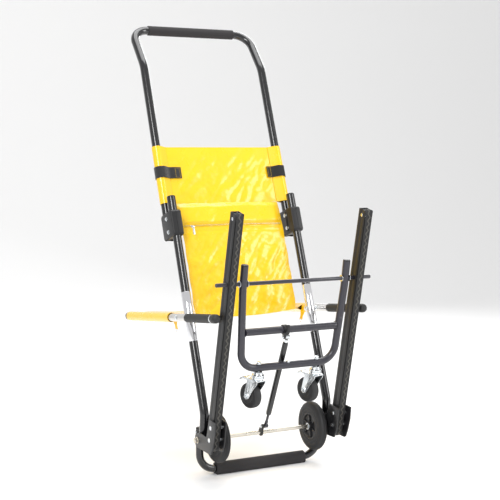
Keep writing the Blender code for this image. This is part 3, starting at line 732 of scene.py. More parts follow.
def make_plates():
    """Side plates with their bolts and nuts, the wheel axle, the pivot rod and a clamp."""
    inner = [(-0.100, 0.200), (-0.150, 0.193), (-0.1385, 0.125), (-0.125, 0.100),
             (-0.020, 0.098), (0.010, 0.106), (0.013, 0.140), (0.008, 0.149), (-0.012, 0.153),
             (-0.050, 0.156), (-0.084, 0.168), (-0.092, 0.190)]
    outer = [(-0.115, 0.199), (-0.158, 0.196), (-0.154, 0.160), (-0.141, 0.122),
             (-0.130, 0.100), (-0.122, 0.096), (-0.030, 0.099), (-0.023, 0.106),
             (-0.021, 0.130), (-0.027, 0.140), (-0.060, 0.146), (-0.098, 0.142),
             (-0.104, 0.160)]
    for word, hand in SIDES:
        for kind, outline, low, high in (("inner", inner, 0.188, 0.192),
                                         ("outer", outer, 0.2265, 0.2295)):
            ends = sorted((hand * low, hand * high))
            face = plate(f"{kind}_plate_{word}_shell", outline, *ends,
                         edge=sizes().edge_round, segments=3)
            holes = [(AXLE, 0.0063)] + [(p, BOLT_HOLE) for p in PLATE_BOLTS]
            if kind == "inner":
                holes.append((LEG_BOLT, BOLT_HOLE))
            for point, radius in holes:
                bore(face, (-0.02, 0.02), radius, yz(hand * (low + high) / 2, point), (1, 0, 0))
            settle(face, "track_frame", plate_coat(), [f"{kind}_plate_{word}"], 30)
        for number, point in enumerate(PLATE_BOLTS):
            name = f"plate_bolt{number + 1}_{word}"
            shank = turned(name + "_shank",
                           [(0.1878, 0.0), (0.1878, 0.004), (0.1924, 0.004), (0.1924, 0.0058),
                            (0.1966, 0.0058), (0.1966, 0.004), (0.2234, 0.004),
                            (0.2234, 0.0058), (0.2261, 0.0058), (0.2261, 0.004),
                            (0.2297, 0.004), (0.2297, 0.0)], yz(0, point), (hand, 0, 0), 20)
            settle(shank, "track_frame", zinc(), [name])
            hex_bolt(name + "_nut", yz(hand * 0.1876, point), (-hand, 0, 0), 0.0104, 0.0034,
                     "track_frame")
            head = turned(name + "_head", [(0.0, 0.0), (0.0, 0.0066), (0.0004, 0.0064),
                                           (0.0006, 0.004), (0.0006, 0.0)],
                          yz(hand * 0.2296, point), (hand, 0, 0), 24)
            settle(head, "track_frame", zinc())
        name = f"leg_bolt_{word}"
        shank = turned(name + "_shank", [(0.1878, 0.0), (0.1878, 0.004), (0.2165, 0.004),
                                         (0.2165, 0.0)], yz(0, LEG_BOLT), (hand, 0, 0), 20)
        settle(shank, "track_frame", zinc(), [name])
        hex_bolt(name + "_nut", yz(hand * 0.1877, LEG_BOLT), (-hand, 0, 0), 0.0100, 0.0030,
                 "track_frame")
        hex_bolt(name + "_head", yz(hand * 0.2164, LEG_BOLT), (hand, 0, 0), 0.0115, 0.0030,
                 "track_frame")
        nut = turned(f"axle_nut_{word}_body",
                     [(0.2299, 0.0063), (0.2299, 0.0096), (0.2303, 0.0098), (0.2309, 0.0098),
                      (0.2312, 0.0095), (0.2312, 0.0076), (0.2376, 0.0076), (0.2384, 0.0068),
                      (0.2384, 0.0063)], yz(0, AXLE), (hand, 0, 0), 32, loop=True)
        settle(nut, "track_frame", turned_steel(), [f"axle_nut_{word}"])
    bar = turned("axle_shaft", [(-0.2405, 0.0), (-0.2405, 0.0050), (-0.2395, 0.0060),
                                (0.2395, 0.0060), (0.2405, 0.0050), (0.2405, 0.0)],
                 yz(0, AXLE), (1, 0, 0), 28)
    settle(bar, "track_frame", turned_steel(), ["axle"])
    bar = turned("kick_rod_shaft", [(-0.2545, 0.0), (-0.2545, 0.0048), (-0.2530, 0.0058),
                                    (0.2530, 0.0058), (0.2545, 0.0048), (0.2545, 0.0)],
                 yz(0, KICK), (1, 0, 0), 28)
    settle(bar, "track_frame", kick_coat(), ["kick_pivot_rod"])
    way = Vector((0, CROSS[0] - AXLE[0], CROSS[1] - AXLE[1])).normalized()
    angle = math.atan2(way.z, way.y)
    heel = yz(0, AXLE) + 0.022 * way
    outline = [(AXLE[0] + 0.0112 * math.cos(angle + a), AXLE[1] + 0.0112 * math.sin(angle + a))
               for a in (math.radians(80 + 200 * k / 20) for k in range(21))]
    outline += [(heel.y + 0.0066 * math.cos(angle + a), heel.z + 0.0066 * math.sin(angle + a))
                for a in (math.radians(-80 + 160 * k / 14) for k in range(15))]
    clamp = plate("strut_clamp_shell", outline, -0.0204, -0.0146, 0.0008, 3)
    for point, radius in ((AXLE, 0.0062), ((heel.y, heel.z), 0.0033)):
        bore(clamp, (-0.02, 0.02), radius, yz(-0.0175, point), (1, 0, 0))
    settle(clamp, "track_frame", moulded(), ["strut_clamp"])


def make_foot_bar():
    """The bent bar that the chair stands on, with its foam sleeve."""
    side, foam_z = 0.2045, 0.018
    path = rounded([(-side, 0, 0.145), (-side, 0, foam_z), (side, 0, foam_z), (side, 0, 0.145)],
                   (0.05, 0.05), 16)
    bar = pipe("foot_bar_tube", path, 0.0115)
    for hand in (-1, 1):
        bore(bar, (-0.02, 0.02), BOLT_HOLE, yz(hand * side, LEG_BOLT), (1, 0, 0))
    settle(bar, "track_frame", black_coat(), ["foot_bar"])
    for word, hand in SIDES:
        plug = turned(f"foot_bar_plug_{word}", [(0.0, 0.0), (0.0, 0.0113), (0.0022, 0.0113),
                                                (0.0040, 0.0098), (0.0046, 0.0060),
                                                (0.0047, 0.0)],
                      (hand * side, 0, 0.1451), (0, 0, 1), 32)
        settle(plug, "track_frame", moulded())
    section = [(0.01825 * math.cos(a), foam_z + 0.01795 * math.sin(a))
               for a in (math.pi * k / 16 for k in range(17))]
    section += [(-0.0180, 0.0120), (-0.0172, 0.0070), (-0.0152, 0.0026), (-0.0120, 0.0002),
                (0.0120, 0.0002), (0.0152, 0.0026), (0.0172, 0.0070), (0.0180, 0.0120)]
    foam = plate("foot_foam_sleeve", section, -0.1530, 0.1530, 0.0016, 3)
    bore(foam, (-0.2, 0.2), 0.0118, (0, 0, foam_z), (1, 0, 0), 32)
    settle(foam, "track_frame", foam_skin(), ["foot_foam"])


def make_wheels():
    """Tyres and ribbed hubs."""
    low, high = 0.151, 0.1785
    for word, hand in SIDES:
        centre = yz(0, AXLE)
        profile = [(low, 0.0430), (low + 0.0002, 0.0520), (low + 0.0010, 0.0530),
                   (low + 0.0010, 0.0560), (low + 0.0003, 0.0570), (low + 0.0012, 0.0650),
                   (low + 0.0040, 0.0712), (low + 0.0072, 0.0740), (low + 0.0095, 0.0749)]
        mirror = [(low + high - a, r) for a, r in profile[::-1]]
        middle = [(low + 0.0100, 0.0738), (low + 0.0112, 0.0738), (low + 0.0117, 0.0749)]
        profile += middle + [(low + high - a, r) for a, r in middle[::-1]] + mirror
        tyre = turned(f"tyre_{word}_ring", profile, centre, (hand, 0, 0), 96, loop=True)
        settle(tyre, f"wheel_{word}", tyre_rubber(), [f"tyre_{word}"], 30)
        profile = [(low - 0.0035, 0.0063), (low - 0.0035, 0.0120), (low - 0.0030, 0.0130),
                   (low + 0.0060, 0.0140), (low + 0.0068, 0.0160), (low + 0.0068, 0.0320),
                   (low + 0.0060, 0.0345), (low + 0.0012, 0.0365), (low + 0.0002, 0.0375),
                   (low + 0.0002, 0.0415), (low + 0.0012, 0.0425), (high - 0.0012, 0.0425),
                   (high - 0.0002, 0.0415), (high - 0.0002, 0.0375), (high - 0.0012, 0.0365),
                   (high - 0.0060, 0.0345), (high - 0.0068, 0.0320), (high - 0.0068, 0.0160),
                   (high - 0.0060, 0.0140), (high + 0.0030, 0.0130), (high + 0.0035, 0.0120),
                   (high + 0.0035, 0.0063)]
        hub = turned(f"hub_{word}_disc", profile, centre, (hand, 0, 0), 64, loop=True)
        ribs = [hub]
        for k in range(6):
            angle = math.pi * (k / 3 + 0.12)
            out = Vector((0, math.cos(angle), math.sin(angle)))
            flank = Vector((0, -math.sin(angle), math.cos(angle)))
            rib = drawn("rib", [(-0.0016, low + 0.0022), (0.0016, low + 0.0022),
                                (0.0022, (low + high) / 2), (0.0016, high - 0.0022),
                                (-0.0016, high - 0.0022), (-0.0022, (low + high) / 2)],
                        centre + out * 0.0130, flank, Vector((hand, 0, 0)), out * 0.0232, 0.0004)
            ribs.append(rib)
        hub = join(f"hub_{word}_disc", ribs)
        settle(hub, f"wheel_{word}", hub_plastic(), [f"hub_{word}"], 30)
        for number, face in enumerate((low - 0.0036, high + 0.0036)):
            way = -hand if number == 0 else hand
            collar = turned(f"wheel_collar{number}_{word}",
                            [(0.0, 0.0062), (0.0, 0.0098), (0.0009, 0.0098), (0.0009, 0.0078),
                             (0.0042, 0.0074), (0.0046, 0.0062)],
                            yz(hand * face, AXLE), (way, 0, 0), 32, loop=True)
            settle(collar, "track_frame", zinc())


# ---------------------------------------------------------------- back frame


def make_main_frame():
    """Main tubes, bright collars and the seat pivots."""
    for word, hand in SIDES:
        x = hand * MAIN_X
        low = MAIN_TOP[0] + 0.37 * (0.200 - MAIN_TOP[1])
        path = rounded([(x, *MAIN_TOP), (x, low, 0.200), (x, AXLE[0], AXLE[1] - 0.0145)],
                       (0.06,), 14)
        main = pipe(f"main_tube_{word}_tube", path, 0.0136)
        for point, radius in ((AXLE, 0.0064), (PIVOT, BOLT_HOLE)):
            bore(main, (-0.03, 0.03), radius, yz(x, point), (1, 0, 0))
        settle(main, "back_frame", black_coat(), [f"main_tube_{word}"])
        plug = turned(f"main_tube_plug_{word}",
                      [(0.0, 0.0), (0.0, 0.0134), (0.0020, 0.0135), (0.0042, 0.0122),
                       (0.0054, 0.0080), (0.0057, 0.0)],
                      yz(x, MAIN_TOP) + 0.0001 * ALONG_MAIN, ALONG_MAIN, 36)
        settle(plug, "back_frame", moulded())
        base = yz(x, (MAIN_TOP[0] + 0.37 * (0.403 - MAIN_TOP[1]), 0.403))
        length = (0.545 - 0.403) / ALONG_MAIN.z
        collar = turned(f"collar_{word}_sleeve",
                        [(0.0, 0.0138), (0.0, 0.0143), (0.0006, 0.0147), (length - 0.0006, 0.0147),
                         (length, 0.0143), (length, 0.0138)], base, ALONG_MAIN, 40, loop=True)
        bore(collar, (-0.03, 0.03), BOLT_HOLE, yz(x, PIVOT), (1, 0, 0))
        settle(collar, "back_frame", chrome(), [f"collar_{word}"])
        shank = turned(f"seat_pivot_{word}_shank",
                       [(0.1950, 0.0), (0.1950, 0.004), (0.2253, 0.004), (0.2253, 0.0070),
                        (0.2258, 0.0074), (0.2306, 0.0074), (0.2311, 0.0070), (0.2311, 0.004),
                        (0.2556, 0.004), (0.2556, 0.0)], yz(0, PIVOT), (hand, 0, 0), 28)
        settle(shank, "back_frame", zinc(), [f"seat_pivot_{word}"])
        hex_bolt(f"seat_pivot_{word}_nut", yz(hand * 0.1948, PIVOT), (-hand, 0, 0), 0.0120,
                 0.0036, "back_frame")
        head = turned(f"seat_pivot_{word}_head",
                      [(0.0, 0.0), (0.0, 0.0074), (0.0008, 0.0074), (0.0022, 0.0060),
                       (0.0028, 0.0032), (0.0029, 0.0)], yz(hand * 0.2557, PIVOT),
                      (hand, 0, 0), 32)
        settle(head, "back_frame", zinc())


def make_clamps():
    """The blocks that hold the handle to the main tubes."""
    low, high = 0.252, 0.334
    for word, hand in SIDES:
        outline = []
        for along, ahead in ((low, -0.0130), (low, 0.0565), (low + 0.006, 0.0625),
                             (high - 0.006, 0.0625), (high, 0.0565), (high, -0.0130),
                             (high - 0.006, -0.0185), (low + 0.006, -0.0185)):
            point = at_main(0, along, ahead)
            outline.append((point.y, point.z))
        ends = sorted((hand * 0.1925, hand * 0.2268))
        block = plate(f"clamp_{word}_block", outline, *ends, edge=0.0035, segments=4)
        for x, ahead, radius in ((MAIN_X, 0.0, 0.0138), (HANDLE_X, HANDLE_AHEAD, 0.0133)):
            bore(block, (0.2, 0.4), radius, at_main(hand * x, 0, ahead), ALONG_MAIN, 40)
        slot_tool = drawn("tool", [(-0.00045, -0.05), (0.00045, -0.05), (0.00045, -0.0155),
                                   (-0.00045, -0.0155)], at_main(hand * 0.2105, 0.2, 0),
                          Vector((hand, 0, 0)), AHEAD_MAIN, ALONG_MAIN * 0.2, 0)
        cut(block, slot_tool)
        settle(block, "back_frame", moulded(), [f"clamp_{word}"], 30)
        for number, (along, ahead) in enumerate(((0.272, 0.0225), (0.314, 0.0225))):
            hex_bolt(f"clamp_bolt{number}_{word}", at_main(hand * 0.22695, along, ahead),
                     (hand, 0, 0), 0.0100, 0.0022, "back_frame", washer=0.0068)
            hex_bolt(f"clamp_nut{number}_{word}", at_main(hand * 0.1923, along, ahead),
                     (-hand, 0, 0), 0.0110, 0.0040, "back_frame", washer=0.0076)
        rib = plate(f"clamp_rib_{word}",
                    [tuple(at_main(0, a, b))[1:] for a, b in ((low + 0.010, 0.017),
                                                              (low + 0.010, 0.028),
                                                              (high - 0.010, 0.028),
                                                              (high - 0.010, 0.017))],
                    *sorted((hand * 0.1900, hand * 0.1930)), edge=0.0008, segments=2)
        settle(rib, "back_frame", moulded())


BACK_LEVELS = ((0.982, 0.2915, 0.199), (0.930, 0.2720, 0.199), (0.870, 0.2496, 0.199),
               (0.816, 0.2294, 0.199), (0.790, 0.2140, 0.182), (0.7235, 0.1766, 0.177),
               (0.640, 0.1450, 0.177), (0.560, 0.1170, 0.177), (0.489, 0.0945, 0.177),
               (0.464, 0.0850, 0.172))


def back_level(z):
    """Depth and half width of the back cover at a height."""
    levels = BACK_LEVELS
    for (z1, y1, w1), (z2, y2, w2) in zip(levels, levels[1:]):
        if z >= z2:
            break
    part = (z1 - z) / (z1 - z2)
    return y1 + (y2 - y1) * part, w1 + (w2 - w1) * part


def crease(across, z, seed, size=1.0):
    """Creases of pulled coated cloth: long diagonal folds and small buckles near the edges."""
    wave = noise.noise(Vector((across * 3.2 + z * 2.3, z * 9.0 - across * 2.2, seed)))
    fold = 1 - abs(noise.noise(Vector((across * 5.5 - z * 6.0, z * 4.0, seed + 3.1)))) * 3.2
    small = noise.noise(Vector((across * 14.0, z * 21.0, seed + 7.7)))
    return size * (0.9 * wave + 0.55 * max(fold, -0.6) + 0.22 * small)


def stitch_line(name, points, out, body, pitch=0.0042):
    """A row of raised stitches along a path, standing just out of the cloth."""
    travelled = 0.0
    verts, faces = [], []
    for a, b in zip(points, points[1:]):
        way = (b - a)
        length = way.length
        if length < 1e-6:
            continue
        way.normalize()
        cross = way.cross(out).normalized()
        while travelled < length:
            at = a + way * travelled
            base = len(verts)
            for along, wide, high in ((-0.0014, 0, 0), (-0.0007, 0.0004, 0), (0.0007, 0.0004, 0),
                                      (0.0014, 0, 0), (0.0007, -0.0004, 0), (-0.0007, -0.0004, 0),
                                      (-0.0007, 0, 0.0004), (0.0007, 0, 0.0004)):
                verts.append(at + way * along + cross * wide + out * high)
            faces += [tuple(base + k for k in f) for f in
                      ((0, 1, 6), (1, 2, 7, 6), (2, 3, 7), (3, 4, 7), (4, 5, 6, 7), (5, 0, 6),
                       (5, 4, 3, 2, 1, 0))]
            travelled += pitch
        travelled -= length
    made = start(name, verts, faces=faces)
    face_out(made)
    return settle(made, body, cover_thread())


def cover_thread():
    return finish("cover_thread", (0.80, 0.50, 0.01), 0.6, drift=0.1, fine=1500, bump=0.05)


def sleeve_row(tube_x, centre, ahead, radius, seam, shift, panel):
    """One row across a cover: round one tube, along the panel, and round the other tube."""
    row = []
    lead = math.acos(radius / seam)
    for hand in (-1, 1):
        half = [(seam, -shift)]
        turns = 22
        for k in range(turns + 1):
            angle = -lead - (2 * math.pi - 2 * lead) * k / turns
            half.append((radius * math.cos(angle), radius * math.sin(angle)))
        half.append((seam, 0.0))
        points = [centre + Vector((hand * tube_x - hand * a, 0, 0)) + ahead * b for a, b in half]
        if hand == -1:
            row += points + panel
        else:
            row += points[::-1]
    return row


def make_back_cover():
    """The upper cover round the handle, and the lower one with its pocket and zip."""
    thick, depth = sizes().cover_thickness, sizes().wrinkle_depth
    rows, columns = 46, 90
    grid = []
    for r in range(rows + 1):
        z = 0.982 - (0.982 - 0.806) * r / rows
        centre = at_main(0, 0, HANDLE_AHEAD)
        centre += ALONG_MAIN * ((z - 0.002 - centre.z) / ALONG_MAIN.z)
        panel = []
        for c in range(1, columns):
            across = -1 + 2 * c / columns
            edge = 1 - abs(across) ** 6
            lift = -0.003 * (1 - across * across) * smooth_step(0, 0.2, r / rows)
            lift += depth * crease(across, z * 4, 1.0) * edge * (0.3 + 0.7 * r / rows)
            panel.append(centre + Vector((0.1825 * across, 0, 0)) + AHEAD_MAIN * lift)
        row = sleeve_row(HANDLE_X, centre, AHEAD_MAIN, 0.0149, 0.0300, 0.0014, panel)
        grid.append(row)
    upper = cloth("back_cover_upper", grid)
    thicken(upper, thick)
    settle(upper, "back_frame", cover_cloth(), ["back_fabric"], 50)

    rows, columns = 130, 96
    grid = []
    bulge = sizes().pocket_bulge
    for r in range(rows + 1):
        t = r / rows
        z = 0.803 - (0.803 - 0.470) * t
        y, half = back_level(z)
        half = min(half, 0.1795) + 0.0008 * math.sin(z * 90)
        row = []
        for c in range(columns + 1):
            across = -1 + 2 * c / columns
            side = 1 - abs(across) ** 8
            drop = 0.0
            if t > 0.86:
                drop = -0.011 * (1 - across * across) * smooth_step(0.86, 1.0, t)
            hump = smooth_step(0.803, 0.790, z) if z > 0.79 else 1.0
            hump *= smooth_step(0.7355, 0.7475, z)
            lift = -bulge * hump * side * (0.75 + 0.25 * math.sin(across * 7 + 1))
            lift += 0.0010 * smooth_step(0.735, 0.731, z) * smooth_step(0.712, 0.716, z) * side
            lift += -0.006 * (1 - across * across) * smooth_step(0.5, 0.62, z)
            size = 0.5 + 0.8 * smooth_step(0.74, 0.60, z) * smooth_step(0.455, 0.50, z)
            lift += depth * crease(across, z * 4, 5.0, size) * (0.35 + 0.65 * side)
            lift -= 0.0014
            row.append(Vector((half * across, y, z + drop)) + AHEAD_MAIN * lift)
        grid.append(row)
    lower = cloth("back_cover_lower", grid)
    thicken(lower, thick)
    settle(lower, "back_frame", cover_cloth(), (), 50)

    def on_lower(across, z, out=0.0012):
        t = (0.803 - z) / (0.803 - 0.470) * rows
        r = min(int(t), rows - 1)
        c = (across + 1) / 2 * columns
        c0 = min(int(c), columns - 1)
        a = grid[r][c0].lerp(grid[r][c0 + 1], c - c0)
        b = grid[r + 1][c0].lerp(grid[r + 1][c0 + 1], c - c0)
        return a.lerp(b, t - r) - AHEAD_MAIN * out

    tape = []
    for k in range(121):
        across = -0.972 + 1.944 * k / 120
        top, bottom = on_lower(across, 0.7395), on_lower(across, 0.7325)
        tape.append([top, top.lerp(bottom, 0.5) - AHEAD_MAIN * 0.0003, bottom])
    tape_piece = cloth("zip_tape", tape)
    thicken(tape_piece, 0.0007)
    settle(tape_piece, "back_frame", tape_cloth(), (), 50)
    verts, faces = [], []
    for k in range(225):
        across = -0.955 + 1.91 * k / 224
        at = on_lower(across, 0.736, 0.0022)
        shift = ALONG_MAIN * (0.0007 if k % 2 else -0.0007)
        base = len(verts)
        for a, b, d in ((-0.0005, -0.0012, 0), (0.0005, -0.0012, 0), (0.0005, 0.0012, 0),
                        (-0.0005, 0.0012, 0), (-0.0003, -0.0008, 0.0008), (0.0003, -0.0008, 0.0008),
                        (0.0003, 0.0008, 0.0008), (-0.0003, 0.0008, 0.0008)):
            verts.append(at + shift + Vector((a, 0, 0)) + ALONG_MAIN * b - AHEAD_MAIN * d)
        faces += [tuple(base + i for i in f) for f in
                  ((3, 2, 1, 0), (4, 5, 6, 7), (0, 1, 5, 4), (1, 2, 6, 5), (2, 3, 7, 6),
                   (3, 0, 4, 7))]
    teeth = start("zip_teeth", verts, faces=faces)
    face_out(teeth)
    settle(teeth, "back_frame", zinc())

    for word, hand in SIDES:
        line = []
        for k in range(30):
            z = 0.976 - (0.976 - 0.812) * k / 29
            centre = at_main(hand * (HANDLE_X - 0.0272), 0, HANDLE_AHEAD)
            centre += ALONG_MAIN * ((z - 0.002 - centre.z) / ALONG_MAIN.z)
            line.append(centre - AHEAD_MAIN * 0.0022)
        stitch_line(f"sleeve_stitch_{word}", line, -AHEAD_MAIN, "back_frame")
        line = [on_lower(hand * 0.955, 0.725 - 0.245 * k / 40, 0.0007) for k in range(41)]
        stitch_line(f"panel_stitch_{word}", line, -AHEAD_MAIN, "back_frame")
    for number, z in enumerate((0.7455, 0.7270, 0.7225)):
        line = [on_lower(-0.94 + 1.88 * k / 60, z, 0.0007) for k in range(61)]
        stitch_line(f"pocket_stitch_{number}", line, -AHEAD_MAIN, "back_frame")
    line = [on_lower(-0.93 + 1.86 * k / 60, 0.482, 0.0007) for k in range(61)]
    stitch_line("bottom_stitch", line, -AHEAD_MAIN, "back_frame")


def tape_cloth():
    return finish("zip_tape_cloth", (0.75, 0.46, 0.0), 0.55, drift=0.1, bump=0.1, weave=600.0,
                  uv=True)


def make_straps():
    """Two straps round the sleeves of the back cover."""
    for word, hand, reach in (("left", -1, 0.062), ("right", 1, 0.040)):
        rows = []
        for r in range(13):
            z = 0.9165 - (0.9165 - 0.8820) * r / 12
            centre = at_main(hand * HANDLE_X, 0, HANDLE_AHEAD)
            centre += ALONG_MAIN * ((z - centre.z) / ALONG_MAIN.z)
            row = []
            radius = 0.0172
            far = reach + 0.008
            for k in range(14):
                across = far - far * k / 14
                row.append((across, -0.0045 - 0.0127 * smooth_step(0.034, 0.004, across)
                            - 0.0007 * math.sin(across * 160)))
            for k in range(19):
                angle = math.pi * k / 18
                row.append((-radius * math.sin(angle), -radius * math.cos(angle)))
            for k in range(1, 11):
                across = 0.034 * k / 10
                row.append((across, 0.0045 + 0.0127 * smooth_step(0.034, 0.004, across)))
            rows.append([centre + Vector((-hand * a, 0, 0)) + AHEAD_MAIN * b for a, b in row])
        band = cloth(f"strap_{word}_band", rows)
        thicken(band, 0.0016)
        settle(band, "back_frame", webbing(), [f"strap_{word}"], 50)
        out = -AHEAD_MAIN
        corner = [rows[1][1], rows[11][1], rows[11][4], rows[1][4], rows[1][1]]
        stitch_line(f"strap_stitch_{word}", [p + out * 0.0009 for p in corner], out,
                    "back_frame", 0.0034)


def make_zip_slider():
    """The slider of the pocket's zip and its pull."""
    place = Vector((-0.150, 0.1650, 0.735)) - 0.0060 * AHEAD_MAIN
    section = [(-0.0058, -0.0040), (0.0058, -0.0024), (0.0058, 0.0024), (-0.0058, 0.0040)]
    body = drawn("zip_slider_body", section, place - AHEAD_MAIN * 0.0012, Vector((1, 0, 0)),
                 ALONG_MAIN, AHEAD_MAIN * 0.0024, 0.0006)
    bridge = drawn("bridge", [(-0.0036, 0), (-0.0030, 0.0022), (0.0030, 0.0022), (0.0036, 0),
                              (0.0026, 0), (0.0021, 0.0013), (-0.0021, 0.0013), (-0.0026, 0)],
                   place - AHEAD_MAIN * 0.0012 - ALONG_MAIN * 0.0009, Vector((1, 0, 0)),
                   -AHEAD_MAIN, ALONG_MAIN * 0.0018, 0.0002)
    tab = [(-0.0018, 0), (0.0018, 0), (0.0030, -0.006), (0.0033, -0.024), (0.0022, -0.027),
           (-0.0022, -0.027), (-0.0033, -0.024), (-0.0030, -0.006)]
    pull = drawn("pull", tab, place - AHEAD_MAIN * 0.0040, Vector((1, 0, 0)), ALONG_MAIN,
                 AHEAD_MAIN * 0.0011, 0.0003)
    whole = join("zip_slider_body", [body, bridge, pull])
    settle(whole, "zip", zinc(), ["zip_slider"], 30)


def make_handle():
    """The bent handle and its grip."""
    base = at_main(0, 0, HANDLE_AHEAD)
    low = base + ALONG_MAIN * ((0.705 - base.z) / ALONG_MAIN.z)
    kink = base + ALONG_MAIN * ((1.240 - base.z) / ALONG_MAIN.z)
    bar = Vector((0, 0.491, 1.361))
    side = Vector((HANDLE_X, 0, 0))
    corners = [low - side, kink - side, bar - side, bar + side, kink + side, low + side]
    tube = pipe("handle_bent_tube", rounded(corners, (0.10, 0.055, 0.055, 0.10), 16), 0.0131)
    settle(tube, "handle", black_coat(), ["handle_tube"])
    for word, hand in SIDES:
        plug = turned(f"handle_plug_{word}", [(0.0, 0.0), (0.0, 0.0129), (0.0020, 0.0129),
                                              (0.0036, 0.0112), (0.0040, 0.0)],
                      low + hand * side - 0.0001 * ALONG_MAIN, -ALONG_MAIN, 36)
        settle(plug, "handle", moulded())
    profile = [(-0.155, 0.0134), (-0.1552, 0.0146), (-0.1545, 0.0154), (-0.1530, 0.0157)]
    profile += [(-0.150 + 0.300 * k / 60, 0.0157 + 0.0001 * math.sin(k * 1.7)) for k in range(61)]
    profile += [(0.1530, 0.0157), (0.1545, 0.0154), (0.1552, 0.0146), (0.155, 0.0134)]
    grip = turned("handle_grip_sleeve", profile, bar, (1, 0, 0), 40, loop=True)
    settle(grip, "handle", foam_skin(), ["handle_grip"])


# ---------------------------------------------------------------- seat


def make_seat_arms():
    """Seat arms with their grips, rings and caps."""
    for word, hand in SIDES:
        pivot = yz(hand * ARM_X, PIVOT)
        arm = turned(f"seat_arm_{word}_tube", [(-0.245, 0.0), (-0.245, 0.0118), (0.395, 0.0118),
                                               (0.395, 0.0)], pivot, ALONG_ARM, 40)
        bore(arm, (-0.03, 0.03), BOLT_HOLE, pivot, (1, 0, 0))
        settle(arm, "seat", bare_tube(), [f"seat_arm_{word}"])
        profile = [(-0.2620, 0.0), (-0.2615, 0.0052), (-0.2590, 0.0095), (-0.2550, 0.0122),
                   (-0.2500, 0.0131), (-0.2318, 0.0131), (-0.2308, 0.0125), (-0.2242, 0.0125),
                   (-0.2232, 0.0131)]
        profile += [(-0.216 + 0.004 * k, 0.0131 - 0.0005 * (k % 2)) for k in range(38)]
        profile += [(-0.0605, 0.0131), (-0.0590, 0.0127), (-0.0585, 0.0121), (-0.2460, 0.0121),
                    (-0.2460, 0.0)]
        grip = turned(f"arm_grip_{word}_sleeve", profile, pivot, ALONG_ARM, 36)
        settle(grip, "seat", grip_rubber(), [f"arm_grip_{word}"])
        band = turned(f"arm_ring_{word}", [(-0.2306, 0.0122), (-0.2306, 0.0127),
                                           (-0.2300, 0.0129), (-0.2250, 0.0129),
                                           (-0.2244, 0.0127), (-0.2244, 0.0122)],
                      pivot, ALONG_ARM, 36, loop=True)
        settle(band, "seat", zinc())
        cap = turned(f"arm_cap_{word}_end", [(0.4085, 0.0), (0.4082, 0.0050), (0.4065, 0.0100),
                                             (0.4035, 0.0124), (0.4000, 0.0130),
                                             (0.3925, 0.0130), (0.3920, 0.0122),
                                             (0.3970, 0.0122), (0.3970, 0.0)],
                     pivot, ALONG_ARM, 36)
        settle(cap, "seat", moulded(), [f"arm_cap_{word}"])


def grip_rubber():
    return finish("grip_rubber", (0.018, 0.018, 0.018), 0.6, fine=1300, bump=0.1)


def make_seat_cover():
    """The seat cover, its short sleeves and its tabs."""
    thick, depth = sizes().cover_thickness, sizes().wrinkle_depth * 0.8
    rows, columns = 84, 84
    grid = []

    def height(along, across):
        rise = 0.012 + 0.006 * smooth_step(0.06, 0.20, along) - 0.002 * smooth_step(0.3, 0.39,
                          along)
        sag = 0.022 - 0.008 * smooth_step(0.26, 0.39, along)
        return rise - sag * (1 - across * across)

    for r in range(rows + 1):
        along = 0.0885 + (0.389 - 0.0885) * r / rows
        panel = []
        centre = at_arm(0, along)
        for c in range(1, columns):
            across = -1 + 2 * c / columns
            edge = 1 - abs(across) ** 6
            lift = height(along, across) * (1 - abs(across) ** 14)
            lift += depth * crease(across, along * 3.0, 9.0, 0.7) * edge
            panel.append(centre + Vector((0.2110 * across, 0, 0)) + ABOVE_ARM * lift)
        row = sleeve_row(ARM_X, centre, ABOVE_ARM, 0.0141, 0.0300, 0.0014, panel)
        grid.append(row)
    seat = cloth("seat_cover", grid)
    thicken(seat, thick)
    settle(seat, "seat", cover_cloth(), ["seat_fabric"], 50)
    for word, hand in SIDES:
        rows = []
        for r in range(15):
            along = 0.0575 + (0.0880 - 0.0575) * r / 14
            centre = at_arm(hand * ARM_X, along)
            row = []
            for k in range(37):
                angle = 2 * math.pi * k / 36
                row.append(centre + 0.0141 * (Vector((hand * math.cos(angle), 0, 0))
                                              + ABOVE_ARM * math.sin(angle)))
            rows.append(row)
        sleeve = cloth(f"seat_sleeve_{word}", rows)
        thicken(sleeve, thick)
        settle(sleeve, "seat", cover_cloth(), (), 50)
        line = [at_arm(hand * (ARM_X - 0.0275), 0.092 + 0.292 * k / 50, 0.0042)
                for k in range(51)]
        stitch_line(f"seat_stitch_{word}", line, ABOVE_ARM, "seat")
        flap = []
        for r in range(13):
            drop = 0.034 * r / 12
            row = []
            for c in range(9):
                along = 0.062 + (0.024 - 0.006 * r / 12) * c / 8 + 0.003 * r / 12
                point = at_arm(hand * (0.2290 - 0.010 * (r / 12) ** 0.7), along)
                point += Vector((0.0012 * math.sin(c * 1.3 + r * 0.5), 0, -0.004 - drop))
                row.append(point)
            flap.append(row)
        piece = cloth(f"seat_tab_{word}", flap)
        thicken(piece, thick)
        settle(piece, "seat", cover_cloth(), (), 50)
        foot = flap[-1][4] - Vector((0, 0, -0.003))
        pull = turned(f"seat_tab_ring_{word}", [(-0.0008, 0.0042), (-0.0008, 0.0058),
                                                (0.0008, 0.0058), (0.0008, 0.0042)],
                      foot + Vector((0, 0, -0.006)), (1, 0, 0), 24, loop=True)
        settle(pull, "seat", zinc())


# ---------------------------------------------------------------- kickstand and strut


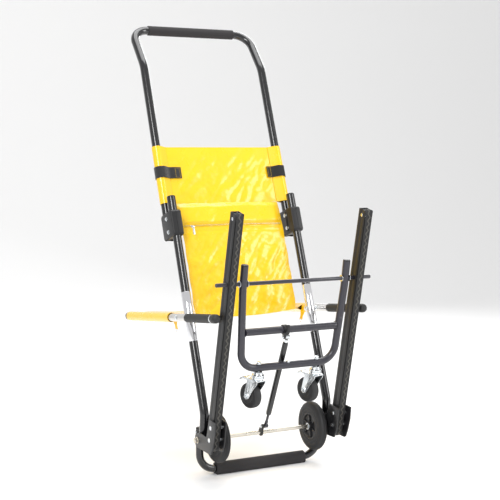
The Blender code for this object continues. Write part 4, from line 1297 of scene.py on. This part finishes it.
def make_kickstand():
    """The bent kick frame, its cross tube and its hook."""
    spots = ((0.649, 0.168), (0.575, 0.168), (0.347, 0.1545))
    corners = [at_kick(-x, z) for z, x in spots] + [at_kick(x, z) for z, x in spots[::-1]]
    bend = pipe("kick_frame_tube", rounded(corners, (0.3, 0.052, 0.052, 0.3), 16), 0.011)
    way = (at_kick(0, 1) - at_kick(0, 0)).normalized()
    for hand in (-1, 1):
        bore(bend, (-0.03, 0.03), 0.0061, yz(hand * KICK_X, KICK), (1, 0, 0))
        bore(bend, (-0.03, 0.03), BOLT_HOLE, at_kick(hand * CASTOR_X, CASTOR_Z), way)
    settle(bend, "kickstand", kick_coat(), ["kick_frame"])
    cross = turned("kick_cross_tube", [(-0.1500, 0.0), (-0.1500, 0.0108), (0.1500, 0.0108),
                                       (0.1500, 0.0)], yz(0, CROSS), (1, 0, 0), 36)
    settle(cross, "kickstand", kick_coat())
    for word, hand in SIDES:
        weld = []
        for k in range(49):
            angle = 2 * math.pi * k / 48
            reach = 0.1478 + 0.0030 * abs(math.sin(angle)) ** 2
            for size in (0.0128, 0.0106):
                weld.append(Vector((hand * (reach + (0.0018 if size > 0.012 else -0.0012)),
                                    CROSS[0] + size * math.cos(angle),
                                    CROSS[1] + size * math.sin(angle))))
        bead = cloth(f"kick_weld_{word}", [weld[2 * k:2 * k + 2] for k in range(49)])
        thicken(bead, 0.0012)
        settle(bead, "kickstand", kick_coat())
        for number, side in enumerate((-1, 1)):
            ring = turned(f"kick_rod_washer{number}_{word}",
                          [(-0.0006, 0.0061), (-0.0006, 0.0098), (0.0006, 0.0098),
                           (0.0006, 0.0061)],
                          yz(hand * (KICK_X + side * 0.0128), KICK), (1, 0, 0), 32, loop=True)
            settle(ring, "track_frame", zinc())
        plug = turned(f"kick_plug_{word}", [(0.0, 0.0), (0.0, 0.0108), (0.0018, 0.0108),
                                            (0.0034, 0.0096), (0.0042, 0.0060), (0.0044, 0.0)],
                      at_kick(hand * KICK_X, 0.649) + 0.0001 * way, way, 32)
        settle(plug, "kickstand", moulded())
    hex_bolt("kick_centre_bolt", at_kick(0, CASTOR_Z) + way * 0.0105, way, 0.0090, 0.0026,
             "kickstand", washer=0.0062)
    line = Vector((0, CROSS[0] - AXLE[0], CROSS[1] - AXLE[1])).normalized()
    angle = math.atan2(line.z, line.y)
    tip = yz(0, AXLE) + 0.340 * line
    outline = [(CROSS[0] + 0.0145 * math.cos(angle + a), CROSS[1] + 0.0145 * math.sin(angle + a))
               for a in (math.radians(-75 + 150 * k / 24) for k in range(25))]
    outline += [(tip.y + 0.0064 * math.cos(angle + a), tip.z + 0.0064 * math.sin(angle + a))
                for a in (math.radians(100 + 160 * k / 12) for k in range(13))]
    bracket = plate("strut_bracket_lug", outline, -0.0190, -0.0141, 0.0008, 3)
    hook = []
    for k in range(25):
        a = math.radians(-60 + 270 * k / 24)
        hook.append((CROSS[0] + 0.0143 * math.cos(a), CROSS[1] + 0.0143 * math.sin(a)))
    hook += [(CROSS[0] - 0.0200, CROSS[1] - 0.0040), (CROSS[0] - 0.0235, CROSS[1] + 0.0040),
             (CROSS[0] - 0.0255, CROSS[1] + 0.0170), (CROSS[0] - 0.0282, CROSS[1] + 0.0178),
             (CROSS[0] - 0.0305, CROSS[1] + 0.0160), (CROSS[0] - 0.0300, CROSS[1] - 0.0040),
             (CROSS[0] - 0.0255, CROSS[1] - 0.0120), (CROSS[0] - 0.0100, CROSS[1] - 0.0155)]
    hooked = plate("hook_lug", hook, -0.0278, -0.0192, 0.0008, 3)
    both = join("strut_bracket_lug", [bracket, hooked])
    bore(both, (-0.03, 0.03), 0.0112, yz(-0.02, CROSS), (1, 0, 0), 36)
    settle(both, "kickstand", moulded(), ["strut_bracket"])
    hex_bolt("strut_bracket_bolt", yz(-0.0192, (tip.y, tip.z)), (-1, 0, 0), 0.0078, 0.0026,
             "kickstand", washer=0.0054)


def strut_chrome():
    return finish("dark_chrome", (0.10, 0.10, 0.11), 0.16, metal=1.0, fine=300, bump=0.01)


def make_strut():
    """The gas strut: rod, body and eyes."""
    line = Vector((0, CROSS[0] - AXLE[0], CROSS[1] - AXLE[1])).normalized()
    axle = Vector((-0.006, *AXLE))
    heel, tip = axle + 0.022 * line, axle + 0.340 * line
    rod = turned("strut_piston_rod", [(0.0, 0.0), (0.0, 0.0040), (0.235, 0.0040), (0.235, 0.0)],
                 heel, line, 28)
    eye = turned("eye", [(-0.0070, 0.0), (-0.0070, 0.0054), (-0.0064, 0.0061), (0.0064, 0.0061),
                         (0.0070, 0.0054), (0.0070, 0.0)], heel, (1, 0, 0), 28)
    nut = turned("nut", [(0.007, 0.0), (0.007, 0.0056), (0.016, 0.0056), (0.0165, 0.0048),
                         (0.0165, 0.0)], heel, line, 6)
    pin = turned("pin", [(-0.0175, 0.0), (-0.0175, 0.0030), (0.0, 0.0030), (0.0, 0.0)],
                 heel, (1, 0, 0), 20)
    whole = join("strut_piston_rod", [rod, eye, nut, pin])
    settle(whole, "strut_lower", strut_chrome(), ["strut_rod"], 30)
    hex_bolt("strut_pin_head", heel + Vector((-0.0146, 0, 0)), (-1, 0, 0), 0.0080, 0.0026,
             "strut_lower", washer=0.0052)
    profile = [(0.0430, 0.0043), (0.0430, 0.0066), (0.0436, 0.0076), (0.0470, 0.0082),
               (0.0480, 0.0086), (0.2940, 0.0086), (0.2975, 0.0078), (0.2990, 0.0055),
               (0.3000, 0.0040), (0.3180, 0.0040), (0.3180, 0.0), (0.2800, 0.0),
               (0.2800, 0.0043)]
    profile = profile[10::-1] + profile[:10:-1]
    body = turned("strut_body", profile, heel, line, 36)
    settle(body, "strut_upper", black_coat(), ["strut_cylinder"], 30)
    eye = turned("strut_top_eye", [(-0.0070, 0.0), (-0.0070, 0.0062), (-0.0064, 0.0069),
                                   (0.0064, 0.0069), (0.0070, 0.0062), (0.0070, 0.0)],
                 tip, (1, 0, 0), 28)
    nut = turned("nut", [(0.3000, 0.0), (0.3000, 0.0060), (0.3085, 0.0060), (0.3090, 0.0052),
                         (0.3090, 0.0)], heel, line, 6)
    whole = join("strut_top_eye", [eye, nut])
    settle(whole, "strut_upper", zinc(), (), 30)



# ---------------------------------------------------------------- castors


def make_castors():
    """Swivel forks, castor wheels and brake pedals."""
    hub = Vector((0, 0.0238, -0.0923))
    for word, hand in SIDES:
        foot = at_kick(hand * CASTOR_X, CASTOR_Z)
        place = (Matrix.Translation(foot) @ Matrix.Rotation(math.atan(KICK_SLOPE), 4, "X")
                 @ Matrix.Rotation(math.radians(12.0), 4, "Z"))

        def put(obj):
            obj.data.transform(place)
            obj.data.update()
            return obj

        swivel = f"castor_{word}"
        stem = turned("stem", [(-0.0115, 0.0), (-0.0115, 0.0040), (0.0180, 0.0040),
                               (0.0186, 0.0034), (0.0186, 0.0)], (0, 0, 0), (0, 0, 1), 24)
        race = turned("race", [(-0.0114, 0.0), (-0.0114, 0.0116), (-0.0120, 0.0122),
                               (-0.0150, 0.0126), (-0.0190, 0.0150), (-0.0205, 0.0180),
                               (-0.0215, 0.0185), (-0.0235, 0.0185), (-0.0243, 0.0176),
                               (-0.0262, 0.0176), (-0.0270, 0.0185), (-0.0322, 0.0185),
                               (-0.0335, 0.0176), (-0.0350, 0.0160), (-0.0350, 0.0)],
                      (0, 0, 0), (0, 0, 1), 48)
        crown = drawn("crown", [(-0.0175, -0.0185), (0.0175, -0.0185), (0.0175, 0.0230),
                                (-0.0175, 0.0230)], Vector((0, 0, -0.0379)), Vector((1, 0, 0)),
                      Vector((0, 1, 0)), Vector((0, 0, 0.0030)), 0.0012)
        leg = [(-0.0180, -0.0360), (0.0228, -0.0360), (0.0268, -0.0460), (0.0300, -0.0640),
               (0.0336, -0.0880), (0.0332, -0.0965), (0.0300, -0.1010), (0.0240, -0.1025),
               (0.0178, -0.1006), (0.0130, -0.0955), (0.0010, -0.0720), (-0.0105, -0.0545),
               (-0.0172, -0.0440)]
        legs = [plate(f"leg{n}", leg, low, high, 0.0006, 3)
                for n, (low, high) in enumerate(((-0.0172, -0.0149), (0.0149, 0.0172)))]
        ribs = [plate(f"rib{n}", [(-0.006, -0.0430), (0.014, -0.0430), (0.0215, -0.0780),
                                  (0.0165, -0.0800)], low, high, 0.0005, 2)
                for n, (low, high) in enumerate(((-0.0180, -0.0170), (0.0170, 0.0180)))]
        fork = put(join(f"castor_fork_{word}_body", [stem, race, crown] + legs + ribs))
        settle(fork, swivel, zinc(), [f"castor_fork_{word}"], 30)
        rotate = place.to_3x3()
        hex_bolt(f"castor_nut_{word}", place @ Vector((0, 0, 0.0126)), rotate @ Vector((0, 0, 1)),
                 0.0115, 0.0050, swivel, washer=0.0078)
        for side in (-1, 1):
            hex_bolt(f"castor_axle_head{side + 1}_{word}",
                     place @ (hub + Vector((side * 0.0184, 0, 0))),
                     rotate @ Vector((side, 0, 0)), 0.0105, 0.0030, swivel, washer=0.0070)
        profile = [(-0.0125, 0.0046), (-0.0125, 0.0240), (-0.0118, 0.0250), (-0.0128, 0.0262),
                   (-0.0128, 0.0300), (-0.0120, 0.0345), (-0.0098, 0.0366), (-0.0068, 0.0375)]
        profile += [(-a, r) for a, r in profile[::-1]]
        tread = put(turned(f"castor_tread_{word}", profile, hub, (1, 0, 0), 64, loop=True))
        settle(tread, f"castor_roll_{word}", tyre_rubber(), [f"castor_wheel_{word}"], 30)
        profile = [(-0.0144, 0.0044), (-0.0144, 0.0080), (-0.0136, 0.0090), (-0.0128, 0.0092),
                   (-0.0128, 0.0195), (-0.0136, 0.0205), (-0.0136, 0.0226), (-0.0128, 0.0236),
                   (-0.0120, 0.0238)]
        profile += [(-a, r) for a, r in profile[::-1]]
        disc = put(turned(f"castor_disc_{word}", profile, hub, (1, 0, 0), 48, loop=True))
        settle(disc, f"castor_roll_{word}", hub_plastic(), (), 30)
        pedal = [(0.0292, -0.0500), (0.0238, -0.0490), (0.0238, -0.0425), (0.0270, -0.0402),
                 (0.0330, -0.0393), (0.0480, -0.0402), (0.0570, -0.0440), (0.0650, -0.0492),
                 (0.0672, -0.0522), (0.0660, -0.0545), (0.0630, -0.0540), (0.0560, -0.0500),
                 (0.0480, -0.0462), (0.0380, -0.0458)]
        lever = plate("lever", pedal, -0.0132, 0.0132, 0.0012, 3)
        treads = [drawn("tread", [(-0.0105, 0), (0.0105, 0), (0.0105, 0.0010), (-0.0105, 0.0010)],
                        Vector((0, y, z)), Vector((1, 0, 0)), Vector((0, 0.4, 1)).normalized(),
                        Vector((0, 0.0018, -0.0009)), 0.0002)
                  for y, z in ((0.0500, -0.0408), (0.0540, -0.0427), (0.0580, -0.0449),
                               (0.0620, -0.0475))]
        lever = put(join(f"castor_pedal_{word}_lever", [lever] + treads))
        settle(lever, f"pedal_{word}", zinc(), [f"castor_pedal_{word}"], 30)



# ---------------------------------------------------------------- stage


def make_stage():
    """Floor, lights and camera."""
    rows = [[Vector((-9, -7, 0)), Vector((9, -7, 0))], [Vector((-9, 3, 0)), Vector((9, 3, 0))]]
    for k in range(1, 25):
        a = math.pi / 2 * k / 24
        rows.append([Vector((x, 3 + 2 * math.sin(a), 2 - 2 * math.cos(a))) for x in (-9, 9)])
    rows.append([Vector((-9, 5, 8)), Vector((9, 5, 8))])
    floor = cloth("studio_floor", rows)
    bpy.ops.object.shade_smooth_by_angle(angle=math.radians(50))
    pale = finish("studio_pale", tuple(colours().floor), 0.6, drift=0.0, bump=0.0, fine=50)
    floor.data.materials.append(pale)

    world = bpy.data.worlds.new("studio_air")
    bpy.context.scene.world = world
    bpy.context.scene.view_settings.view_transform = "Standard"
    world.use_nodes = True
    world.node_tree.nodes["Background"].inputs["Color"].default_value = (1, 1, 1, 1)
    world.node_tree.nodes["Background"].inputs["Strength"].default_value = 0.74
    for name, place, aim, size, tall, power in (
            ("key", (-2.6, -2.4, 2.6), (0, 0, 0.7), 0.9, 2.0, 80),
            ("fill", (2.6, -2.2, 1.8), (0, 0, 0.7), 1.0, 2.4, 40),
            ("top", (0.2, 0.4, 3.4), (0, 0, 0.6), 2.4, 2.0, 55),
            ("rim", (1.8, 2.4, 2.2), (0, 0, 0.9), 1.2, 2.0, 35)):
        lamp = bpy.data.lights.new(name, "AREA")
        lamp.shape = "RECTANGLE"
        lamp.size, lamp.size_y, lamp.energy = size, tall, power
        obj = bpy.data.objects.new(name, lamp)
        bpy.context.collection.objects.link(obj)
        obj.location = place
        obj.rotation_euler = (Vector(aim) - Vector(place)).to_track_quat("-Z", "Y").to_euler()

    yaw, pitch = math.radians(-27.80), math.radians(4.88)
    right = Vector((math.cos(yaw), math.sin(yaw), 0))
    back = Vector((math.sin(yaw) * math.cos(pitch), -math.cos(yaw) * math.cos(pitch),
                   math.sin(pitch)))
    up = back.cross(right)
    lens = bpy.data.cameras.new("camera")
    lens.lens, lens.sensor_width = 84.74, 36.0
    camera = bpy.data.objects.new("camera", lens)
    bpy.context.collection.objects.link(camera)
    turn = Matrix((right, up, back)).transposed().to_4x4()
    camera.matrix_world = Matrix.Translation((-1.67978, -3.12041, 0.97303)) @ turn
    bpy.context.scene.camera = camera


# ---------------------------------------------------------------- operators and panel


class BuildStage(bpy.types.Operator):
    """Adds the floor, the lights and the camera"""

    bl_idname = "stair_chair.stage"
    bl_label = "Add Stage"
    bl_options = {"REGISTER", "UNDO"}

    def execute(self, context):
        make_stage()
        return {"FINISHED"}


class BuildTracks(bpy.types.Operator):
    """Builds the rails, belts and rollers"""

    bl_idname = "stair_chair.tracks"
    bl_label = "Build Tracks"
    bl_options = {"REGISTER", "UNDO"}

    def execute(self, context):
        make_tracks()
        return {"FINISHED"}


class BuildPlates(bpy.types.Operator):
    """Builds the side plates, their bolts, the axle and the pivot rod"""

    bl_idname = "stair_chair.plates"
    bl_label = "Build Plates"
    bl_options = {"REGISTER", "UNDO"}

    def execute(self, context):
        make_plates()
        return {"FINISHED"}


class BuildFootBar(bpy.types.Operator):
    """Bends the foot bar and adds its foam"""

    bl_idname = "stair_chair.foot_bar"
    bl_label = "Build Foot Bar"
    bl_options = {"REGISTER", "UNDO"}

    def execute(self, context):
        make_foot_bar()
        return {"FINISHED"}


class BuildWheels(bpy.types.Operator):
    """Turns the tyres and the hubs"""

    bl_idname = "stair_chair.wheels"
    bl_label = "Build Wheels"
    bl_options = {"REGISTER", "UNDO"}

    def execute(self, context):
        make_wheels()
        return {"FINISHED"}


class BuildMainFrame(bpy.types.Operator):
    """Builds the main tubes, collars, clamps and seat pivots"""

    bl_idname = "stair_chair.main_frame"
    bl_label = "Build Main Frame"
    bl_options = {"REGISTER", "UNDO"}

    def execute(self, context):
        make_main_frame()
        make_clamps()
        return {"FINISHED"}


class BuildBackCover(bpy.types.Operator):
    """Lays the back cover with its pocket, zip and straps"""

    bl_idname = "stair_chair.back_cover"
    bl_label = "Build Back Cover"
    bl_options = {"REGISTER", "UNDO"}

    def execute(self, context):
        make_back_cover()
        make_straps()
        make_zip_slider()
        return {"FINISHED"}


class BuildHandle(bpy.types.Operator):
    """Bends the handle and adds its grip"""

    bl_idname = "stair_chair.handle"
    bl_label = "Build Handle"
    bl_options = {"REGISTER", "UNDO"}

    def execute(self, context):
        make_handle()
        return {"FINISHED"}


class BuildSeatArms(bpy.types.Operator):
    """Turns the seat arms, their grips and their caps"""

    bl_idname = "stair_chair.seat_arms"
    bl_label = "Build Seat Arms"
    bl_options = {"REGISTER", "UNDO"}

    def execute(self, context):
        make_seat_arms()
        return {"FINISHED"}


class BuildSeatCover(bpy.types.Operator):
    """Lays the seat cover and its tabs"""

    bl_idname = "stair_chair.seat_cover"
    bl_label = "Build Seat Cover"
    bl_options = {"REGISTER", "UNDO"}

    def execute(self, context):
        make_seat_cover()
        return {"FINISHED"}


class BuildKickstand(bpy.types.Operator):
    """Bends the kickstand and adds its hook"""

    bl_idname = "stair_chair.kickstand"
    bl_label = "Build Kickstand"
    bl_options = {"REGISTER", "UNDO"}

    def execute(self, context):
        make_kickstand()
        return {"FINISHED"}


class BuildStrut(bpy.types.Operator):
    """Turns the gas strut"""

    bl_idname = "stair_chair.strut"
    bl_label = "Build Strut"
    bl_options = {"REGISTER", "UNDO"}

    def execute(self, context):
        make_strut()
        return {"FINISHED"}


class BuildCastors(bpy.types.Operator):
    """Builds the castors and their pedals"""

    bl_idname = "stair_chair.castors"
    bl_label = "Build Castors"
    bl_options = {"REGISTER", "UNDO"}

    def execute(self, context):
        make_castors()
        return {"FINISHED"}


OPERATORS = (
    BuildStage,
    BuildTracks,
    BuildPlates,
    BuildFootBar,
    BuildWheels,
    BuildMainFrame,
    BuildBackCover,
    BuildHandle,
    BuildSeatArms,
    BuildSeatCover,
    BuildKickstand,
    BuildStrut,
    BuildCastors,
)


class StairChairPanel(bpy.types.Panel):
    """Lists the sizes, the colours and every step of the build"""

    bl_idname = "VIEW3D_PT_stair_chair"
    bl_label = "Stair Chair"
    bl_space_type = "VIEW_3D"
    bl_region_type = "UI"
    bl_category = "Stair Chair"

    def draw(self, context):
        layout = self.layout
        for group in (context.scene.chair_sizes, context.scene.chair_colours):
            box = layout.box()
            for key in group.__annotations__:
                box.prop(group, key)
        for operator in OPERATORS:
            layout.operator(operator.bl_idname)


CLASSES = (ChairSizes, ChairColours, *OPERATORS, StairChairPanel)


def register():
    """Registers the classes and hangs the settings on the scene."""
    for cls in CLASSES:
        bpy.utils.register_class(cls)
    bpy.types.Scene.chair_sizes = PointerProperty(type=ChairSizes)
    bpy.types.Scene.chair_colours = PointerProperty(type=ChairColours)


def unregister():
    """Takes the settings and the classes away again."""
    del bpy.types.Scene.chair_colours
    del bpy.types.Scene.chair_sizes
    for cls in reversed(CLASSES):
        bpy.utils.unregister_class(cls)


def main():
    """Builds every piece in order."""
    register()
    for operator in OPERATORS:
        clear()
        key = operator.bl_idname.split(".")[1]
        getattr(bpy.ops.stair_chair, key)()
    clear()
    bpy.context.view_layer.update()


if __name__ == "__main__":
    main()
